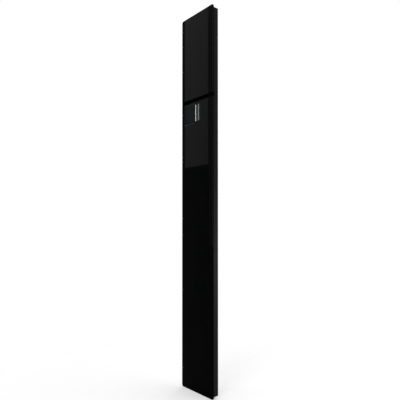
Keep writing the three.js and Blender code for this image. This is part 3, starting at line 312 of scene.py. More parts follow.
def display_glass():
    """A tinted pane over a display that is off: blue-grey, with a faint cell raster under it."""
    deep_blue = (0.0010, 0.0030, 0.0038)
    pale_blue = (0.0018, 0.0042, 0.0052)
    cell_blue = (0.0030, 0.0058, 0.0070)
    cell_pitch = 0.9
    m = Mat("display_glass").set(spec=0.0072)
    film = m.remap(m.noise(26.0, 3.0), 0.3, 0.7, 0.0, 1.0)
    raster = m.calc("MULTIPLY", m.wave(cell_pitch, "X"), m.wave(cell_pitch, "Z"))
    deep = m.blend(film, deep_blue, pale_blue)
    m.to("Base Color", m.blend(m.remap(raster, 0.0, 1.0, 0.0, 0.25), deep, cell_blue))
    m.to("Roughness", m.remap(m.noise(14.0, 4.0), 0.3, 0.8, 0.03, 0.1))
    return m.mat


def coated_metal(name, color, spread, rough, spec):
    """Powder-coated sheet: fine orange peel, faint cloudiness, edges a little worn."""
    m = Mat(name).set(spec=spec)
    cloud = m.remap(m.noise(40.0, 4.0), 0.3, 0.7, 0.0, 1.0)
    base = m.blend(cloud, scaled(color, 1 - spread), scaled(color, 1 + spread))
    bare = tuple(min(1.0, c * 2.6 + 0.010) for c in color)
    wear = m.calc("MULTIPLY", m.edges(0.5), m.remap(m.noise(5.0, 4.0), 0.45, 0.65, 0.1, 0.9))
    m.to("Base Color", m.blend(wear, base, bare))
    m.to("Roughness", m.remap(m.noise(9.0, 5.0), 0.3, 0.7, rough - 0.07, rough + 0.07))
    m.to("Normal", m.bump(m.noise(0.45, 3.0, rough=0.6), 0.35, 0.00006))
    return m.mat


def moulded_plastic(name, color, rough, spec=0.4, grain=0.35, spread=0.12):
    """Spark-eroded plastic: fine cell texture, slight shade changes, edges polished by hands."""
    m = Mat(name).set(spec=spec)
    shade = m.remap(m.noise(25.0, 3.0), 0.3, 0.7, 0.0, 1.0)
    m.to("Base Color", m.blend(shade, scaled(color, 1 - spread), scaled(color, 1 + spread)))
    matt = m.remap(m.noise(4.0, 4.0), 0.3, 0.7, rough - 0.05, rough + 0.08)
    polish = m.calc("MULTIPLY", m.edges(0.8), 0.16)
    m.to("Roughness", m.calc("SUBTRACT", matt, polish))
    m.to("Normal", m.bump(m.cells(grain), 0.25, 0.00005))
    return m.mat


def plated_steel(name, color, crystal):
    """Zinc-plated sheet: crystals of different shades, fine rolling lines and a dull film."""
    m = Mat(name).set(metal=1.0)
    spangle = m.grains(crystal, (1.0, 1.0, 0.7))
    lines = m.noise(0.5, 2.0, (1, 1, 0.04))
    base = m.blend(spangle, scaled(color, 0.84), scaled(color, 1.14))
    film = m.remap(m.noise(30.0, 5.0), 0.45, 0.7, 0.0, 0.35)
    dull = tuple(c * share for c, share in zip(color, (0.73, 0.70, 0.66)))
    m.to("Base Color", m.blend(film, base, dull))
    lined = m.remap(lines, 0.3, 0.7, 0.30, 0.46)
    rough = m.calc("ADD", lined, m.remap(spangle, 0.0, 1.0, 0.0, 0.08))
    m.to("Roughness", m.calc("ADD", rough, m.remap(film, 0.0, 0.35, 0.0, 0.12)))
    m.to("Normal", m.bump(lines, 0.12, 0.00003))
    return m.mat


def drawn_metal(name, dark, pale):
    """Satin metal with fine upright drawing lines."""
    m = Mat(name).set(metal=1.0)
    lines = m.noise(0.35, 2.0, (1, 1, 0.02))
    m.to("Base Color", m.blend(m.remap(lines, 0.3, 0.7, 0.0, 1.0), dark, pale))
    m.to("Roughness", m.remap(lines, 0.3, 0.7, 0.36, 0.5))
    m.to("Normal", m.bump(lines, 0.06, 0.00002))
    return m.mat


def contact_gold():
    """Plated spring contacts, a little dulled where they rub."""
    bright = (0.62, 0.44, 0.17)
    dulled = (0.50, 0.38, 0.19)
    m = Mat("contact_gold").set(metal=1.0)
    worn = m.noise(1.2, 3.0)
    m.to("Base Color", m.blend(m.remap(worn, 0.35, 0.7, 0.0, 1.0), bright, dulled))
    m.to("Roughness", m.remap(worn, 0.3, 0.7, 0.18, 0.36))
    m.to("Normal", m.bump(m.noise(0.25, 2.0), 0.1, 0.00002))
    return m.mat


def folded_paper():
    """Pleated fibre sheet: matted fibres with pale strands, greyed in patches by dust."""
    clean = (0.80, 0.805, 0.79)
    dusty = (0.70, 0.70, 0.68)
    strand = (0.9, 0.9, 0.885)
    m = Mat("filter_paper").set(spec=0.15, sheen=0.25)
    fibres = m.noise(0.25, 5.0, (1.0, 1.0, 0.25), 0.7)
    tint = m.blend(m.remap(m.noise(35.0, 4.0), 0.35, 0.7, 0.0, 1.0), clean, dusty)
    m.to("Base Color", m.blend(m.remap(fibres, 0.35, 0.7, 0.0, 0.4), tint, strand))
    m.to("Roughness", m.remap(fibres, 0.3, 0.7, 0.82, 0.97))
    m.to("Normal", m.bump(fibres, 0.4, 0.0001))
    return m.mat


def foam():
    """Closed-cell foam strip, with its skin pricked by pores."""
    pore = (0.006, 0.006, 0.006)
    skin = (0.022, 0.022, 0.023)
    m = Mat("seal_foam").set(spec=0.2)
    pores = m.cells(0.45)
    m.to("Base Color", m.blend(m.remap(pores, 0.1, 0.5, 0.0, 1.0), pore, skin))
    m.to("Roughness", m.remap(m.noise(3.0), 0.3, 0.7, 0.8, 0.95))
    m.to("Normal", m.bump(pores, 0.6, 0.0002))
    return m.mat


def lead_cover():
    """Soft lead sleeve, a little dusty."""
    clean = (0.008, 0.008, 0.008)
    dusty = (0.018, 0.018, 0.019)
    m = Mat("lead_cover").set(spec=0.35)
    m.to("Base Color", m.blend(m.noise(12.0, 3.0), clean, dusty))
    m.to("Roughness", m.remap(m.noise(1.5, 4.0), 0.3, 0.7, 0.42, 0.62))
    m.to("Normal", m.bump(m.noise(0.3, 3.0), 0.2, 0.00005))
    return m.mat


def circuit_board(name, face):
    """Solder-masked board with fine copper tracks; in front of its face stand components."""
    mask = (0.010, 0.062, 0.032)
    copper = (0.020, 0.115, 0.055)
    dark_part = (0.014, 0.014, 0.015)
    pale_part = (0.30, 0.29, 0.26)
    m = Mat(name).set(spec=0.5)
    tracks = m.calc("MAXIMUM", m.wave(1.6, "X", 6.0), m.wave(1.9, "Z", 5.0))
    board = m.blend(m.remap(tracks, 0.90, 0.94, 0.0, 1.0), mask, copper)
    part = m.blend(m.calc("GREATER_THAN", m.grains(34.0), 0.62), dark_part, pale_part)
    m.to("Base Color", m.blend(m.in_front_of(face), board, part))
    m.to("Roughness", m.remap(m.noise(3.0), 0.3, 0.7, 0.28, 0.42))
    m.to("Normal", m.bump(m.noise(1.4, 3.0), 0.2, 0.00004))
    return m.mat


# The depth just in front of the control board's plate, where its components begin.
BOARD_FACE = span("control_board")[1][0] + 1.7
# A depth that nothing reaches, for a board without components.
BEYOND_ALL = 100.0

MATERIALS = {
    "black_glass": black_glass(),
    "display_glass": display_glass(),
    "carrier_black": coated_metal("carrier_black", (0.0038, 0.0038, 0.0040), 0.2, 0.42, 0.08),
    "housing_grey": coated_metal("housing_grey", (0.0042, 0.0042, 0.0044), 0.18, 0.44, 0.06),
    "zinc_steel": plated_steel("zinc_steel", (0.40, 0.405, 0.41), 6.0),
    "dark_zinc": plated_steel("dark_zinc", (0.075, 0.076, 0.078), 2.5),
    "wall_steel": plated_steel("wall_steel", (0.20, 0.205, 0.215), 4.0),
    "black_plastic": moulded_plastic("black_plastic", (0.0055, 0.0055, 0.0058), 0.5, 0.2),
    "pale_plastic": moulded_plastic(
        "pale_plastic", (0.62, 0.635, 0.60), 0.45, 0.45, spread=0.05,
    ),
    "filter_paper": folded_paper(),
    "seal_foam": foam(),
    "lead_cover": lead_cover(),
    "magnet_black": moulded_plastic("magnet_black", (0.011, 0.011, 0.0115), 0.4, 0.4),
    "indicator_grey": moulded_plastic(
        "indicator_grey", (0.020, 0.020, 0.0205), 0.45, 0.12, grain=0.2,
    ),
    "satin_metal": drawn_metal("satin_metal", (0.34, 0.345, 0.34), (0.44, 0.445, 0.44)),
    "satin_dark": drawn_metal("satin_dark", (0.095, 0.097, 0.095), (0.13, 0.132, 0.13)),
    "board_green": circuit_board("board_green", BOARD_FACE),
    "contact_board": circuit_board("contact_board", BEYOND_ALL),
    # Near-black, darker than real plastic: painted shade for the outlet's nozzle, duct and vanes,
    # and for the status window.
    "painted_shade_black": moulded_plastic(
        "painted_shade_black", (0.0007, 0.0007, 0.0008), 0.6, 0.01, spread=0.25,
    ),
    # The outlet bezel, darker still than black plastic: painted shade, so its lit faces look as
    # dark as the slot's shadow.
    "bezel_painted_shade": moulded_plastic(
        "bezel_painted_shade", (0.0006, 0.0006, 0.0007), 0.5, 0.003, spread=0.25,
    ),
    "net": moulded_plastic("net", (0.010, 0.010, 0.0105), 0.5, 0.3, grain=0.2),
    "contact_gold": contact_gold(),
    "display_rim": moulded_plastic(
        "display_rim", (0.010, 0.0105, 0.011), 0.35, 0.1, grain=0.2,
    ),
    "status_line": moulded_plastic(
        "status_line", (0.0105, 0.011, 0.0115), 0.3, 0.1, grain=0.2,
    ),
    "status_lamp": moulded_plastic(
        "status_lamp", (0.10, 0.103, 0.107), 0.25, 0.2, grain=0.2,
    ),
}

# Nodes with their own material: the outlet in near-black painted shade, the wall plates, the
# black-plated hinges.
SHADES = {
    "outlet_bezel": "bezel_painted_shade",
    "outlet_nozzle": "painted_shade_black",
    "outlet_duct": "painted_shade_black",
    "louvre_vane_lower": "painted_shade_black",
    "louvre_vane_upper": "painted_shade_black",
    "lower_wall_plate": "wall_steel",
    "upper_wall_plate": "wall_steel",
}
for hinge_part in ("bracket", "pin", "leaf"):
    for where in ("lower", "middle", "upper"):
        SHADES["hinge_%s_%s" % (hinge_part, where)] = "dark_zinc"


def dress_nodes():
    """Each CAD node gets its special shade, or else the material of its slot in the record."""
    for part in frame["record"]["subparts"]:
        node = part["node"]
        material = MATERIALS[SHADES.get(node, part["material_slot"])]
        for slot in NODES[node].material_slots:
            slot.link = "OBJECT"
            slot.material = material


dress_nodes()


# Mesh kit

DOME_SIDES = 20
# Keeps divisions clear of zero.
TINY = 1e-9


class Form:
    """One piece, made of closed forms. It is in the material named, or else in its slot's own."""

    def __init__(self, name, slot, body, material=None):
        self.name = name
        self.slot = slot
        self.body = body
        self.material = MATERIALS[material or slot]
        self.bm = bmesh.new()

    def box(self, x, depth, z, chamfer=0.0):
        """A block between two corners, its edges broken by a small chamfer."""
        verts = {}
        for i, a in enumerate(x):
            for j, b in enumerate(depth):
                for k, c in enumerate(z):
                    verts[i, j, k] = self.bm.verts.new(point(a, b, c))
        quads = (
            ((0, 0, 0), (0, 0, 1), (0, 1, 1), (0, 1, 0)),
            ((1, 0, 0), (1, 1, 0), (1, 1, 1), (1, 0, 1)),
            ((0, 0, 0), (1, 0, 0), (1, 0, 1), (0, 0, 1)),
            ((0, 1, 0), (0, 1, 1), (1, 1, 1), (1, 1, 0)),
            ((0, 0, 0), (0, 1, 0), (1, 1, 0), (1, 0, 0)),
            ((0, 0, 1), (1, 0, 1), (1, 1, 1), (0, 1, 1)),
        )
        faces = [self.bm.faces.new([verts[corner] for corner in quad]) for quad in quads]
        if chamfer:
            edges = list(dict.fromkeys(edge for face in faces for edge in face.edges))
            bmesh.ops.bevel(
                self.bm, geom=edges, offset=chamfer / MM_PER_METRE, segments=2, profile=0.6,
                affect="EDGES", clamp_overlap=True,
            )

    def prism(self, outline, lo, hi, axis):
        """An outline in two directions, drawn out along axis 0 (x), 1 (depth) or 2 (height)."""
        ends = []
        for level in (lo, hi):
            ring = []
            for a, b in outline:
                place = ((level, a, b), (a, level, b), (a, b, level))[axis]
                ring.append(self.bm.verts.new(point(*place)))
            ends.append(ring)
        self.bm.faces.new(ends[0])
        self.bm.faces.new(list(reversed(ends[1])))
        count = len(outline)
        for n in range(count):
            m = (n + 1) % count
            self.bm.faces.new((ends[0][n], ends[1][n], ends[1][m], ends[0][m]))

    def rings(self, rows):
        """A closed form through rows of points, capped at both ends."""
        loops = [[self.bm.verts.new(p) for p in row] for row in rows]
        self.bm.faces.new(list(reversed(loops[0])))
        self.bm.faces.new(loops[-1])
        for low, high in zip(loops, loops[1:]):
            count = len(low)
            for n in range(count):
                m = (n + 1) % count
                self.bm.faces.new((low[n], low[m], high[m], high[n]))

    def done(self):
        """Turns the forms into an object that rides on its body and takes its material."""
        bmesh.ops.recalc_face_normals(self.bm, faces=self.bm.faces[:])
        mesh = bpy.data.meshes.new(self.name)
        self.bm.to_mesh(mesh)
        self.bm.free()
        mesh.materials.append(self.material)
        ob = bpy.data.objects.new(self.name, mesh)
        bpy.context.collection.objects.link(ob)
        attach(ob, self.body)


def frame_of(normal):
    """Two directions in a surface that are square to each other, and its unit normal."""
    n = Vector(normal).normalized()
    side = Vector((0, 0, 1)) if abs(n.z) < 0.9 else Vector((1, 0, 0))
    u = side.cross(n).normalized()
    return u, n.cross(u), n


def cross_radius(angle, arm, half):
    """How far the rim of a cross recess lies from its middle at an angle."""
    c = abs(math.cos(angle)) + TINY
    s = abs(math.sin(angle)) + TINY
    return max(min(arm / c, half / s), min(half / c, arm / s))


def screw(form, place, normal, head, turn):
    """A pan-head screw with a cross recess, on a surface that faces along normal."""
    radius, height = head
    u, v, n = frame_of(normal)
    centre = point(*place)
    arm = radius * 0.52
    half = radius * 0.13
    corner = math.atan2(half, arm)
    quarter = (0.0, corner, math.pi / 6, math.pi / 4, math.pi / 3, math.pi / 2 - corner)
    angles = [q * math.pi / 2 + a for q in range(4) for a in quarter]

    def ring(radii, level):
        out = []
        for a, r in zip(angles, radii):
            spot = u * math.cos(a + turn) * r + v * math.sin(a + turn) * r + n * level
            out.append(centre + spot / MM_PER_METRE)
        return out

    def round_ring(share, level):
        return ring([radius * share] * len(angles), height * level)

    def cross_ring(grow, level):
        return ring([cross_radius(a, arm, half) * grow for a in angles], height * level)

    form.rings([
        round_ring(0.97, 0.0), round_ring(1.0, 0.12), round_ring(0.97, 0.42),
        round_ring(0.88, 0.7), round_ring(0.74, 0.9), round_ring(0.6, 1.0),
        cross_ring(1.0, 1.0), cross_ring(0.8, 0.35),
    ])


def dome(form, place, normal, profile):
    """A turned form on a surface: profile holds radius and level from its foot to its top."""
    u, v, n = frame_of(normal)
    centre = point(*place)
    rows = []
    for r, level in profile:
        row = []
        for s in range(DOME_SIDES):
            a = 2 * math.pi * s / DOME_SIDES
            spot = u * math.cos(a) * r + v * math.sin(a) * r + n * level
            row.append(centre + spot / MM_PER_METRE)
        rows.append(row)
    form.rings(rows)


# Detail pieces, in millimetres, placed from the boxes of the nodes that carry them

# Radius and height of screw heads.
LARGE_HEAD = (2.6, 1.4)
HINGE_HEAD = (2.0, 0.9)
SMALL_HEAD = (1.6, 0.8)

# Turned forms: radius and level from foot to top.
PIN_PROFILE = ((1.1, 0.0), (1.1, 0.3), (0.75, 0.3), (0.75, 0.72), (0.45, 0.95))
PAD_PROFILE = ((1.7, 0.0), (1.7, 0.06), (1.6, 0.1))
STUD_PROFILE = ((2.2, 0.0), (2.2, 0.4), (1.6, 0.8), (0.6, 1.0))
RIVET_PROFILE = (
    (2.5, 0.0), (2.5, 0.12), (2.2, 0.5), (1.6, 0.75), (1.0, 0.82), (0.9, 0.5), (0.5, 0.45),
)

# A finger tab in section: each point's reach from the face, and its place from the tab's end.
TAB_PROFILE = (
    (0.0, -6.6), (1.3, -6.3), (3.2, -4.4), (4.1, -2.2), (4.0, -0.4),
    (3.3, 0.0), (2.9, -1.8), (1.8, -3.4), (0.0, -4.2),
)

# Depth of the rear panel's back face, and the thickness of its sheet.
REAR_PANEL_BACK = 2.3
REAR_PANEL_THICKNESS = 1.5
BOARD_LEAD_RADIUS = 1.6


def make_screws():
    """Screws in the caps, the inner covers, the hinge brackets and the mains inlet."""
    from_side = 8.0
    hinge_plate_thickness = 1.5
    from_hinge_plate_back = 2.5
    from_inlet_side = 2.0

    caps = Form("cap_screws", "zinc_steel", "root", "dark_zinc")
    for node, normal, end in (("top_cap", UP, 1), ("bottom_cap", DOWN, 0)):
        x, depth, z = span(node)
        spots = [(sx, share) for sx in inset(x, from_side) for share in (0.24, 0.76)]
        for n, (sx, share) in enumerate(spots):
            place = (sx, share_of(depth, share), z[end])
            screw(caps, place, normal, LARGE_HEAD, 0.4 + n * 0.7)
    caps.done()

    covers = Form("cover_screws", "zinc_steel", "root")
    for node in ("service_cover", "display_bay_cover"):
        x, depth, z = span(node)
        spots = [(a, b) for b in (0.09, 0.91) for a in (0.035, 0.5, 0.965)]
        for n, (a, b) in enumerate(spots):
            place = (share_of(x, a), depth[1], share_of(z, b))
            screw(covers, place, FRONT, LARGE_HEAD, 0.2 + n * 1.1)
    covers.done()

    for where in ("lower", "middle", "upper"):
        x, depth, z = span("hinge_bracket_" + where)
        plate = Form("hinge_screws_" + where, "zinc_steel", "root", "dark_zinc")
        for n, rise in enumerate((-18.0, 0.0, 18.0)):
            plate_face = x[1] - hinge_plate_thickness
            place = (plate_face, depth[0] + from_hinge_plate_back, middle(z) + rise)
            screw(plate, place, LEFT, HINGE_HEAD, 0.5 + n)
        plate.done()

    inlet = Form("inlet_screws", "zinc_steel", "root")
    x, depth, z = span("mains_inlet")
    for n, sx in enumerate(inset(x, from_inlet_side)):
        screw(inlet, (sx, middle(depth), z[0]), DOWN, SMALL_HEAD, 0.3 + n)
    inlet.done()


def make_inlet_blades():
    """Bright sleeves over the three contact blades of the mains inlet."""
    x, depth, z = span("mains_inlet")
    spacing = 7.0
    offset = 2.0
    half_thickness = 1.05
    half_width = 2.05
    length = (z[0] + 7.8, z[0] + 17.7)
    blades = Form("inlet_blades", "satin_metal", "root")
    for place in (-1, 0, 1):
        across = around(middle(x) + place * spacing, half_thickness)
        blade_depth = middle(depth) + (offset if place == 0 else -offset)
        blades.box(across, around(blade_depth, half_width), length, 0.35)
    blades.done()


def threads(sides, pitch):
    """The middles of evenly spaced threads between two sides, about a pitch apart."""
    count = int((sides[1] - sides[0]) / pitch)
    return [sides[0] + n * (sides[1] - sides[0]) / count for n in range(1, count)]


def make_prefilter(which):
    """The fine net of a prefilter, two layers of crossed threads, and its two finger tabs."""
    x, depth, z = span("prefilter_" + which)
    under_rim = 7.0
    pitch = 3.0
    half_thread = 0.3
    across = inset(x, under_rim)
    upright = inset(z, under_rim)
    layer = depth[0] + 0.45
    net = Form("prefilter_net_" + which, "black_plastic", "root", "net")
    for tx in threads(across, pitch):
        net.box(around(tx, half_thread), (layer + 0.3, layer + 0.6), upright)
    for tz in threads(upright, pitch):
        net.box(across, (layer, layer + 0.3), around(tz, half_thread))
    net.done()

    tabs = Form("prefilter_tabs_" + which, "black_plastic", "root")
    face = depth[1]
    half_tab = 15.0
    for top, way in ((z[1] - 0.6, 1), (z[0] + 0.6, -1)):
        outline = [(face + d, top + h * way) for d, h in TAB_PROFILE]
        tabs.prism(outline, -half_tab, half_tab, 0)
        rib = tuple(sorted((top - 3.2 * way, top - 0.8 * way)))
        for rx in (-8.0, -4.0, 0.0, 4.0, 8.0):
            tabs.box(around(rx, 0.5), (face + 3.2, face + 4.5), rib, 0.2)
    tabs.done()


def make_door_seals():
    """Foam strips on the door's rim, which close on the side rails and the bottom cap."""
    _, depth, z = span("lower_carrier")
    thickness = 0.55
    soft_edge = 0.18
    strip_depth = (depth[0] - thickness, depth[0])
    side_z = (z[0] + 12.0, z[1] - 6.0)
    bottom_z = (z[0] + 10.5, z[0] + 14.0)
    strip = Form("door_seals", "seal_foam", "door")
    strip.box((-119.5, -115.0), strip_depth, side_z, soft_edge)
    strip.box((115.0, 119.5), strip_depth, side_z, soft_edge)
    strip.box((-114.4, 114.4), strip_depth, bottom_z, soft_edge)
    strip.done()


def make_display_contacts():
    """Spring pins on the inner cover that feed the display, and the pads they meet on the door."""
    _, cover_depth, _ = span("display_bay_cover")
    _, module_depth, module_z = span("display_module")
    block_back = cover_depth[1]
    block_face = block_back + 2.4
    nose_face = block_back + 2.9
    module_back = module_depth[0]
    board_back = module_back - 0.35
    height = middle(module_z)
    block = Form("display_contact_block", "black_plastic", "root")
    block.box((-84.0, -50.0), (block_back, block_face), around(height, 6.0), 0.5)
    block.box((-80.0, -54.0), (block_face, nose_face), around(height, 3.2), 0.2)
    block.done()

    pins = Form("display_contact_pins", "satin_metal", "root", "contact_gold")
    pads = Form("display_contact_pads", "satin_metal", "door", "contact_gold")
    board = Form("display_contact_board", "board_green", "door", "contact_board")
    board.box((-83.0, -51.0), (board_back, module_back), around(height, 5.0), 0.1)
    for px in (-77.0, -72.0, -67.0, -62.0, -57.0):
        dome(pins, (px, nose_face, height), FRONT, PIN_PROFILE)
        dome(pads, (px, board_back, height), BACK, PAD_PROFILE)
    for form in (pins, pads, board):
        form.done()


def make_magnet_poles():
    """Steel pole plates at both ends of each catch magnet."""
    pole_length = 2.2
    over_sides = 0.08
    over_ends = 0.05
    over_front = 0.12
    for where in ("lower", "upper"):
        x, depth, z = span("catch_magnet_" + where)
        across = inset(x, -over_sides)
        through = (depth[0], depth[1] + over_front)
        poles = Form("magnet_poles_" + where, "zinc_steel", "root")
        poles.box(across, through, (z[0] - over_ends, z[0] + pole_length), 0.15)
        poles.box(across, through, (z[1] - pole_length, z[1] + over_ends), 0.15)
        poles.done()


def make_display_trim():
    """The edge along the display's top; below it a strip of painted shadow, the light line and its
    tip.
    """
    x, depth, z = span("display_pane")
    face = depth[1]
    sunk = face - 0.3
    edge = Form("display_top_edge", "satin_dark", "door", "display_rim")
    edge.box(x, (sunk, face + 0.08), (z[1] - 3.0, z[1] - 1.9), 0.05)
    edge.done()
    # A near-black strip over the light line: painted shadow where the line's own shadow falls.
    shadow_strip = Form("status_painted_shadow", "indicator_grey", "door", "painted_shade_black")
    shadow_strip.box(x, (sunk, face + 0.05), (z[0] - 13.4, z[0] - 8.4), 0.03)
    shadow_strip.done()

    line = Form("status_line", "indicator_grey", "door", "status_line")
    centre = z[0] - 14.9
    half = 1.1
    end_steps = 8
    outline = []
    for start, end in ((-math.pi / 2, x[1] - half), (math.pi / 2, x[0] + half)):
        for n in range(end_steps + 1):
            a = start + math.pi * n / end_steps
            outline.append((end + half * math.cos(a), centre + half * math.sin(a)))
    line.prism(outline, sunk, face + 0.1, 1)
    line.done()
    tip = Form("status_lamp", "indicator_grey", "door", "status_lamp")
    tip.box((x[0] + 7.0, x[0] + 19.5), (face, face + 0.22), around(centre, 0.8), 0.12)
    tip.done()


def make_bezel_gaskets():
    """Soft strips that close the gaps between the outlet bezel and the two panels."""
    bezel_x, _, bezel_z = span("outlet_bezel")
    _, glass_depth, upper_z = span("upper_glass")
    _, _, lower_z = span("lower_glass")
    across = inset(bezel_x, 0.4)
    depth = (glass_depth[0] + 0.3, glass_depth[1] - 1.1)
    strips = Form("bezel_gaskets", "seal_foam", "root")
    strips.box(across, depth, (bezel_z[1], upper_z[0] - 0.02), 0.05)
    strips.box(across, depth, (lower_z[1] + 0.1, bezel_z[0]), 0.05)
    strips.done()


def make_inlet_fleece():
    """A strip of black fleece behind the air slots of each side rail, held by press studs."""
    rail_wall = 2.0
    gap = 0.05
    fleece_face = 0.75
    stud_count = 9
    first_stud = 12.0
    low = span("prefilter_lower")[2][0] + 4.0
    high = span("prefilter_upper")[2][1] - 4.0
    for name, side in (("left", -1), ("right", 1)):
        x, depth, _ = span(name + "_rail")
        wall = side * (max(abs(x[0]), abs(x[1])) - rail_wall)
        inner = wall - side * fleece_face
        sheet = tuple(sorted((wall - side * gap, inner)))
        strip = Form("inlet_fleece_" + name, "seal_foam", "root")
        strip.box(sheet, (depth[1] - 8.2, depth[1] - 2.4), (low, high), 0.15)
        strip.done()
        studs = Form("fleece_studs_" + name, "black_plastic", "root")
        run = high - low - 2 * first_stud
        for n in range(stud_count):
            height = low + first_stud + n * run / (stud_count - 1)
            dome(studs, (inner, depth[1] - 5.3, height), (-side, 0, 0), STUD_PROFILE)
        studs.done()


def lead_clip_heights():
    """The heights of the seven clips along the board lead."""
    first = span("board_lead")[2][0] + 60.0
    spacing = 280.0
    return [first + n * spacing for n in range(7)]


def make_back_rivets():
    """Domed rivets through the rear panel, which hold the power supply and the lead's clips."""
    from_corner = 12.0
    beside_lead = 5.2
    supply_x, _, supply_z = span("power_supply")
    lead_x = span("board_lead")[0][0] + BOARD_LEAD_RADIUS
    spots = [(sx, sz) for sz in inset(supply_z, from_corner) for sx in inset(supply_x, from_corner)]
    spots += [(lead_x - beside_lead, sz) for sz in lead_clip_heights()]
    rivets = Form("back_rivets", "zinc_steel", "root")
    for sx, sz in spots:
        dome(rivets, (sx, REAR_PANEL_BACK, sz), BACK, RIVET_PROFILE)
    rivets.done()


def make_lead_clips():
    """Arched clips on the inside of the rear panel, each with a foot towards lower x."""
    reach = 1.75
    wall = 0.9
    foot_length = 8.0
    half_clip = 4.0
    arch_steps = 8
    lead_x, lead_depth, _ = span("board_lead")
    middle_x = lead_x[0] + BOARD_LEAD_RADIUS
    middle_depth = lead_depth[0] + BOARD_LEAD_RADIUS
    over = reach + wall
    foot_end = middle_x - foot_length
    outer = []
    inner = []
    for n in range(arch_steps + 1):
        a = math.pi * n / arch_steps
        outer.append((middle_x - over * math.cos(a), middle_depth + over * math.sin(a)))
        inner.append((middle_x - reach * math.cos(a), middle_depth + reach * math.sin(a)))
    base = REAR_PANEL_BACK + REAR_PANEL_THICKNESS
    outline = [(foot_end, base), (foot_end, base + wall), (middle_x - over, base + wall)]
    outline += outer
    outline += [(middle_x + over, base), (middle_x + reach, base)]
    outline += reversed(inner)
    outline += [(middle_x - reach, base)]
    clips = Form("lead_clips", "pale_plastic", "root")
    for height in lead_clip_heights():
        clips.prism(outline, height - half_clip, height + half_clip, 2)
    clips.done()


make_screws()
make_inlet_blades()
make_prefilter("lower")
make_prefilter("upper")
make_door_seals()
make_display_contacts()
make_magnet_poles()
make_display_trim()
make_bezel_gaskets()
make_inlet_fleece()
make_back_rivets()
make_lead_clips()


# Studio

FLOOR_RADIUS = 5.0
FLOOR_RINGS = 24
FLOOR_SPOKES = 64
FLOOR_MIDDLE_Y = -0.02
FLOOR_DROP = 0.0015
FLOOR_COLOR = (0.86, 0.86, 0.86, 1)
FLOOR_GLOW = 0.31
FADE_START = 0.3
FADE_END = 1.7
WHITE = (1, 1, 1, 1)
WORLD_LIGHT = 0.62


def seen_by_eye_or_gloss(nt):
    """1 for camera, glossy and transmission rays, 0 for the rays that light matt surfaces."""
    path = nt.nodes.new("ShaderNodeLightPath")
    pair = nt.nodes.new("ShaderNodeMath")
    pair.operation = "MAXIMUM"
    three = nt.nodes.new("ShaderNodeMath")
    three.operation = "MAXIMUM"
    nt.links.new(path.outputs["Is Camera Ray"], pair.inputs[0])
    nt.links.new(path.outputs["Is Glossy Ray"], pair.inputs[1])
    nt.links.new(pair.outputs[0], three.inputs[0])
    nt.links.new(path.outputs["Is Transmission Ray"], three.inputs[1])
    return three.outputs[0]


def floor_mesh():
    """A flat disc of rings round a middle point."""
    bm = bmesh.new()
    centre = bm.verts.new((0, 0, 0))
    last = None
    for r in range(1, FLOOR_RINGS + 1):
        d = FLOOR_RADIUS * r / FLOOR_RINGS
        now = []
        for s in range(FLOOR_SPOKES):
            a = 2 * math.pi * s / FLOOR_SPOKES
            now.append(bm.verts.new((d * math.cos(a), d * math.sin(a), 0)))
        for s in range(FLOOR_SPOKES):
            t = (s + 1) % FLOOR_SPOKES
            if last is None:
                bm.faces.new((centre, now[s], now[t]))
            else:
                bm.faces.new((last[s], now[s], now[t], last[t]))
        last = now
    mesh = bpy.data.meshes.new("floor")
    bm.to_mesh(mesh)
    bm.free()
    return mesh


def floor_material():
    """Pale and matt, lifted towards white for the eye, and clear further out."""
    mat = bpy.data.materials.new("floor")
    mat.use_nodes = True
    nt = mat.node_tree
    nt.nodes.clear()
    out = nt.nodes.new("ShaderNodeOutputMaterial")
    pale = nt.nodes.new("ShaderNodeBsdfDiffuse")
    pale.inputs["Color"].default_value = FLOOR_COLOR
    glow = nt.nodes.new("ShaderNodeEmission")
    lift = nt.nodes.new("ShaderNodeMath")
    lift.operation = "MULTIPLY"
    lift.inputs[1].default_value = FLOOR_GLOW
    both = nt.nodes.new("ShaderNodeAddShader")
    clear = nt.nodes.new("ShaderNodeBsdfTransparent")
    mix = nt.nodes.new("ShaderNodeMixShader")
    coord = nt.nodes.new("ShaderNodeTexCoord")
    length = nt.nodes.new("ShaderNodeVectorMath")
    length.operation = "LENGTH"
    fade = nt.nodes.new("ShaderNodeMapRange")
    fade.interpolation_type = "SMOOTHSTEP"
    fade.inputs["From Min"].default_value = FADE_START
    fade.inputs["From Max"].default_value = FADE_END
    nt.links.new(seen_by_eye_or_gloss(nt), lift.inputs[0])
    nt.links.new(lift.outputs[0], glow.inputs["Strength"])
    nt.links.new(pale.outputs[0], both.inputs[0])
    nt.links.new(glow.outputs[0], both.inputs[1])
    nt.links.new(coord.outputs["Object"], length.inputs[0])
    nt.links.new(length.outputs["Value"], fade.inputs["Value"])
    nt.links.new(fade.outputs[0], mix.inputs[0])
    nt.links.new(both.outputs[0], mix.inputs[1])
    nt.links.new(clear.outputs[0], mix.inputs[2])
    nt.links.new(mix.outputs[0], out.inputs["Surface"])
    return mat


def make_floor():
    """A pale round floor just under the lowest edge, fading out into the white surroundings."""
    mesh = floor_mesh()
    mesh.materials.append(floor_material())
    floor = bpy.data.objects.new("floor", mesh)
    floor.location = (0, FLOOR_MIDDLE_Y, CAD_BOX[0].z - FLOOR_DROP)
    bpy.context.collection.objects.link(floor)


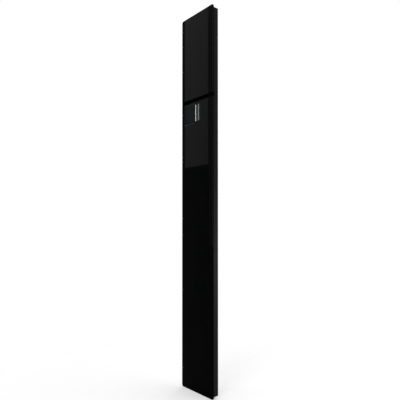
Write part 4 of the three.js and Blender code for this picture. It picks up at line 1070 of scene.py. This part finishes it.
def make_world():
    """White to the eye and in reflections; a softer light from all round on matt surfaces."""
    world = bpy.data.worlds.new("studio")
    world.use_nodes = True
    nt = world.node_tree
    nt.nodes.clear()
    out = nt.nodes.new("ShaderNodeOutputWorld")
    lit = nt.nodes.new("ShaderNodeBackground")
    lit.inputs["Color"].default_value = WHITE
    lit.inputs["Strength"].default_value = WORLD_LIGHT
    white = nt.nodes.new("ShaderNodeBackground")
    white.inputs["Color"].default_value = WHITE
    white.inputs["Strength"].default_value = 1.0
    mix = nt.nodes.new("ShaderNodeMixShader")
    nt.links.new(seen_by_eye_or_gloss(nt), mix.inputs[0])
    nt.links.new(lit.outputs[0], mix.inputs[1])
    nt.links.new(white.outputs[0], mix.inputs[2])
    nt.links.new(mix.outputs[0], out.inputs["Surface"])
    bpy.context.scene.world = world


def add_area(name, place, aim, size, power):
    data = bpy.data.lights.new(name, "AREA")
    data.shape = "RECTANGLE"
    data.size = size[0]
    data.size_y = size[1]
    data.energy = power
    ob = bpy.data.objects.new(name, data)
    ob.location = place
    ob.rotation_mode = "QUATERNION"
    ob.rotation_quaternion = (Vector(aim) - Vector(place)).to_track_quat("-Z", "Y")
    ob.visible_camera = False
    bpy.context.collection.objects.link(ob)


make_floor()
make_world()

MIDDLE = (0.0, -0.02, -0.9)
add_area("key", (1.2, -2.6, 1.6), MIDDLE, (1.6, 1.6), 24.0)
add_area("low_side", (2.2, 1.6, -1.4), (0.1, -0.02, -1.4), (2.8, 0.95), 28.0)
add_area("back", (-1.6, 2.4, 1.0), MIDDLE, (1.6, 1.6), 12.0)

# What the glass mirrors: a soft light for the sky, and two thin ones for the window frame's lines
add_area("soft_box", (-3.182, -2.6, 1.08), (-3.182, 0.0, 1.08), (0.548, 2.43), 17.0)
add_area("strip_near", (-2.868, -2.6, 0.45), (-2.868, 0.0, 0.45), (0.024, 3.5), 0.35)
add_area("strip_far", (-2.815, -2.6, 0.45), (-2.815, 0.0, 0.45), (0.021, 3.5), 0.8)

scene = bpy.context.scene
scene.view_settings.view_transform = "Standard"
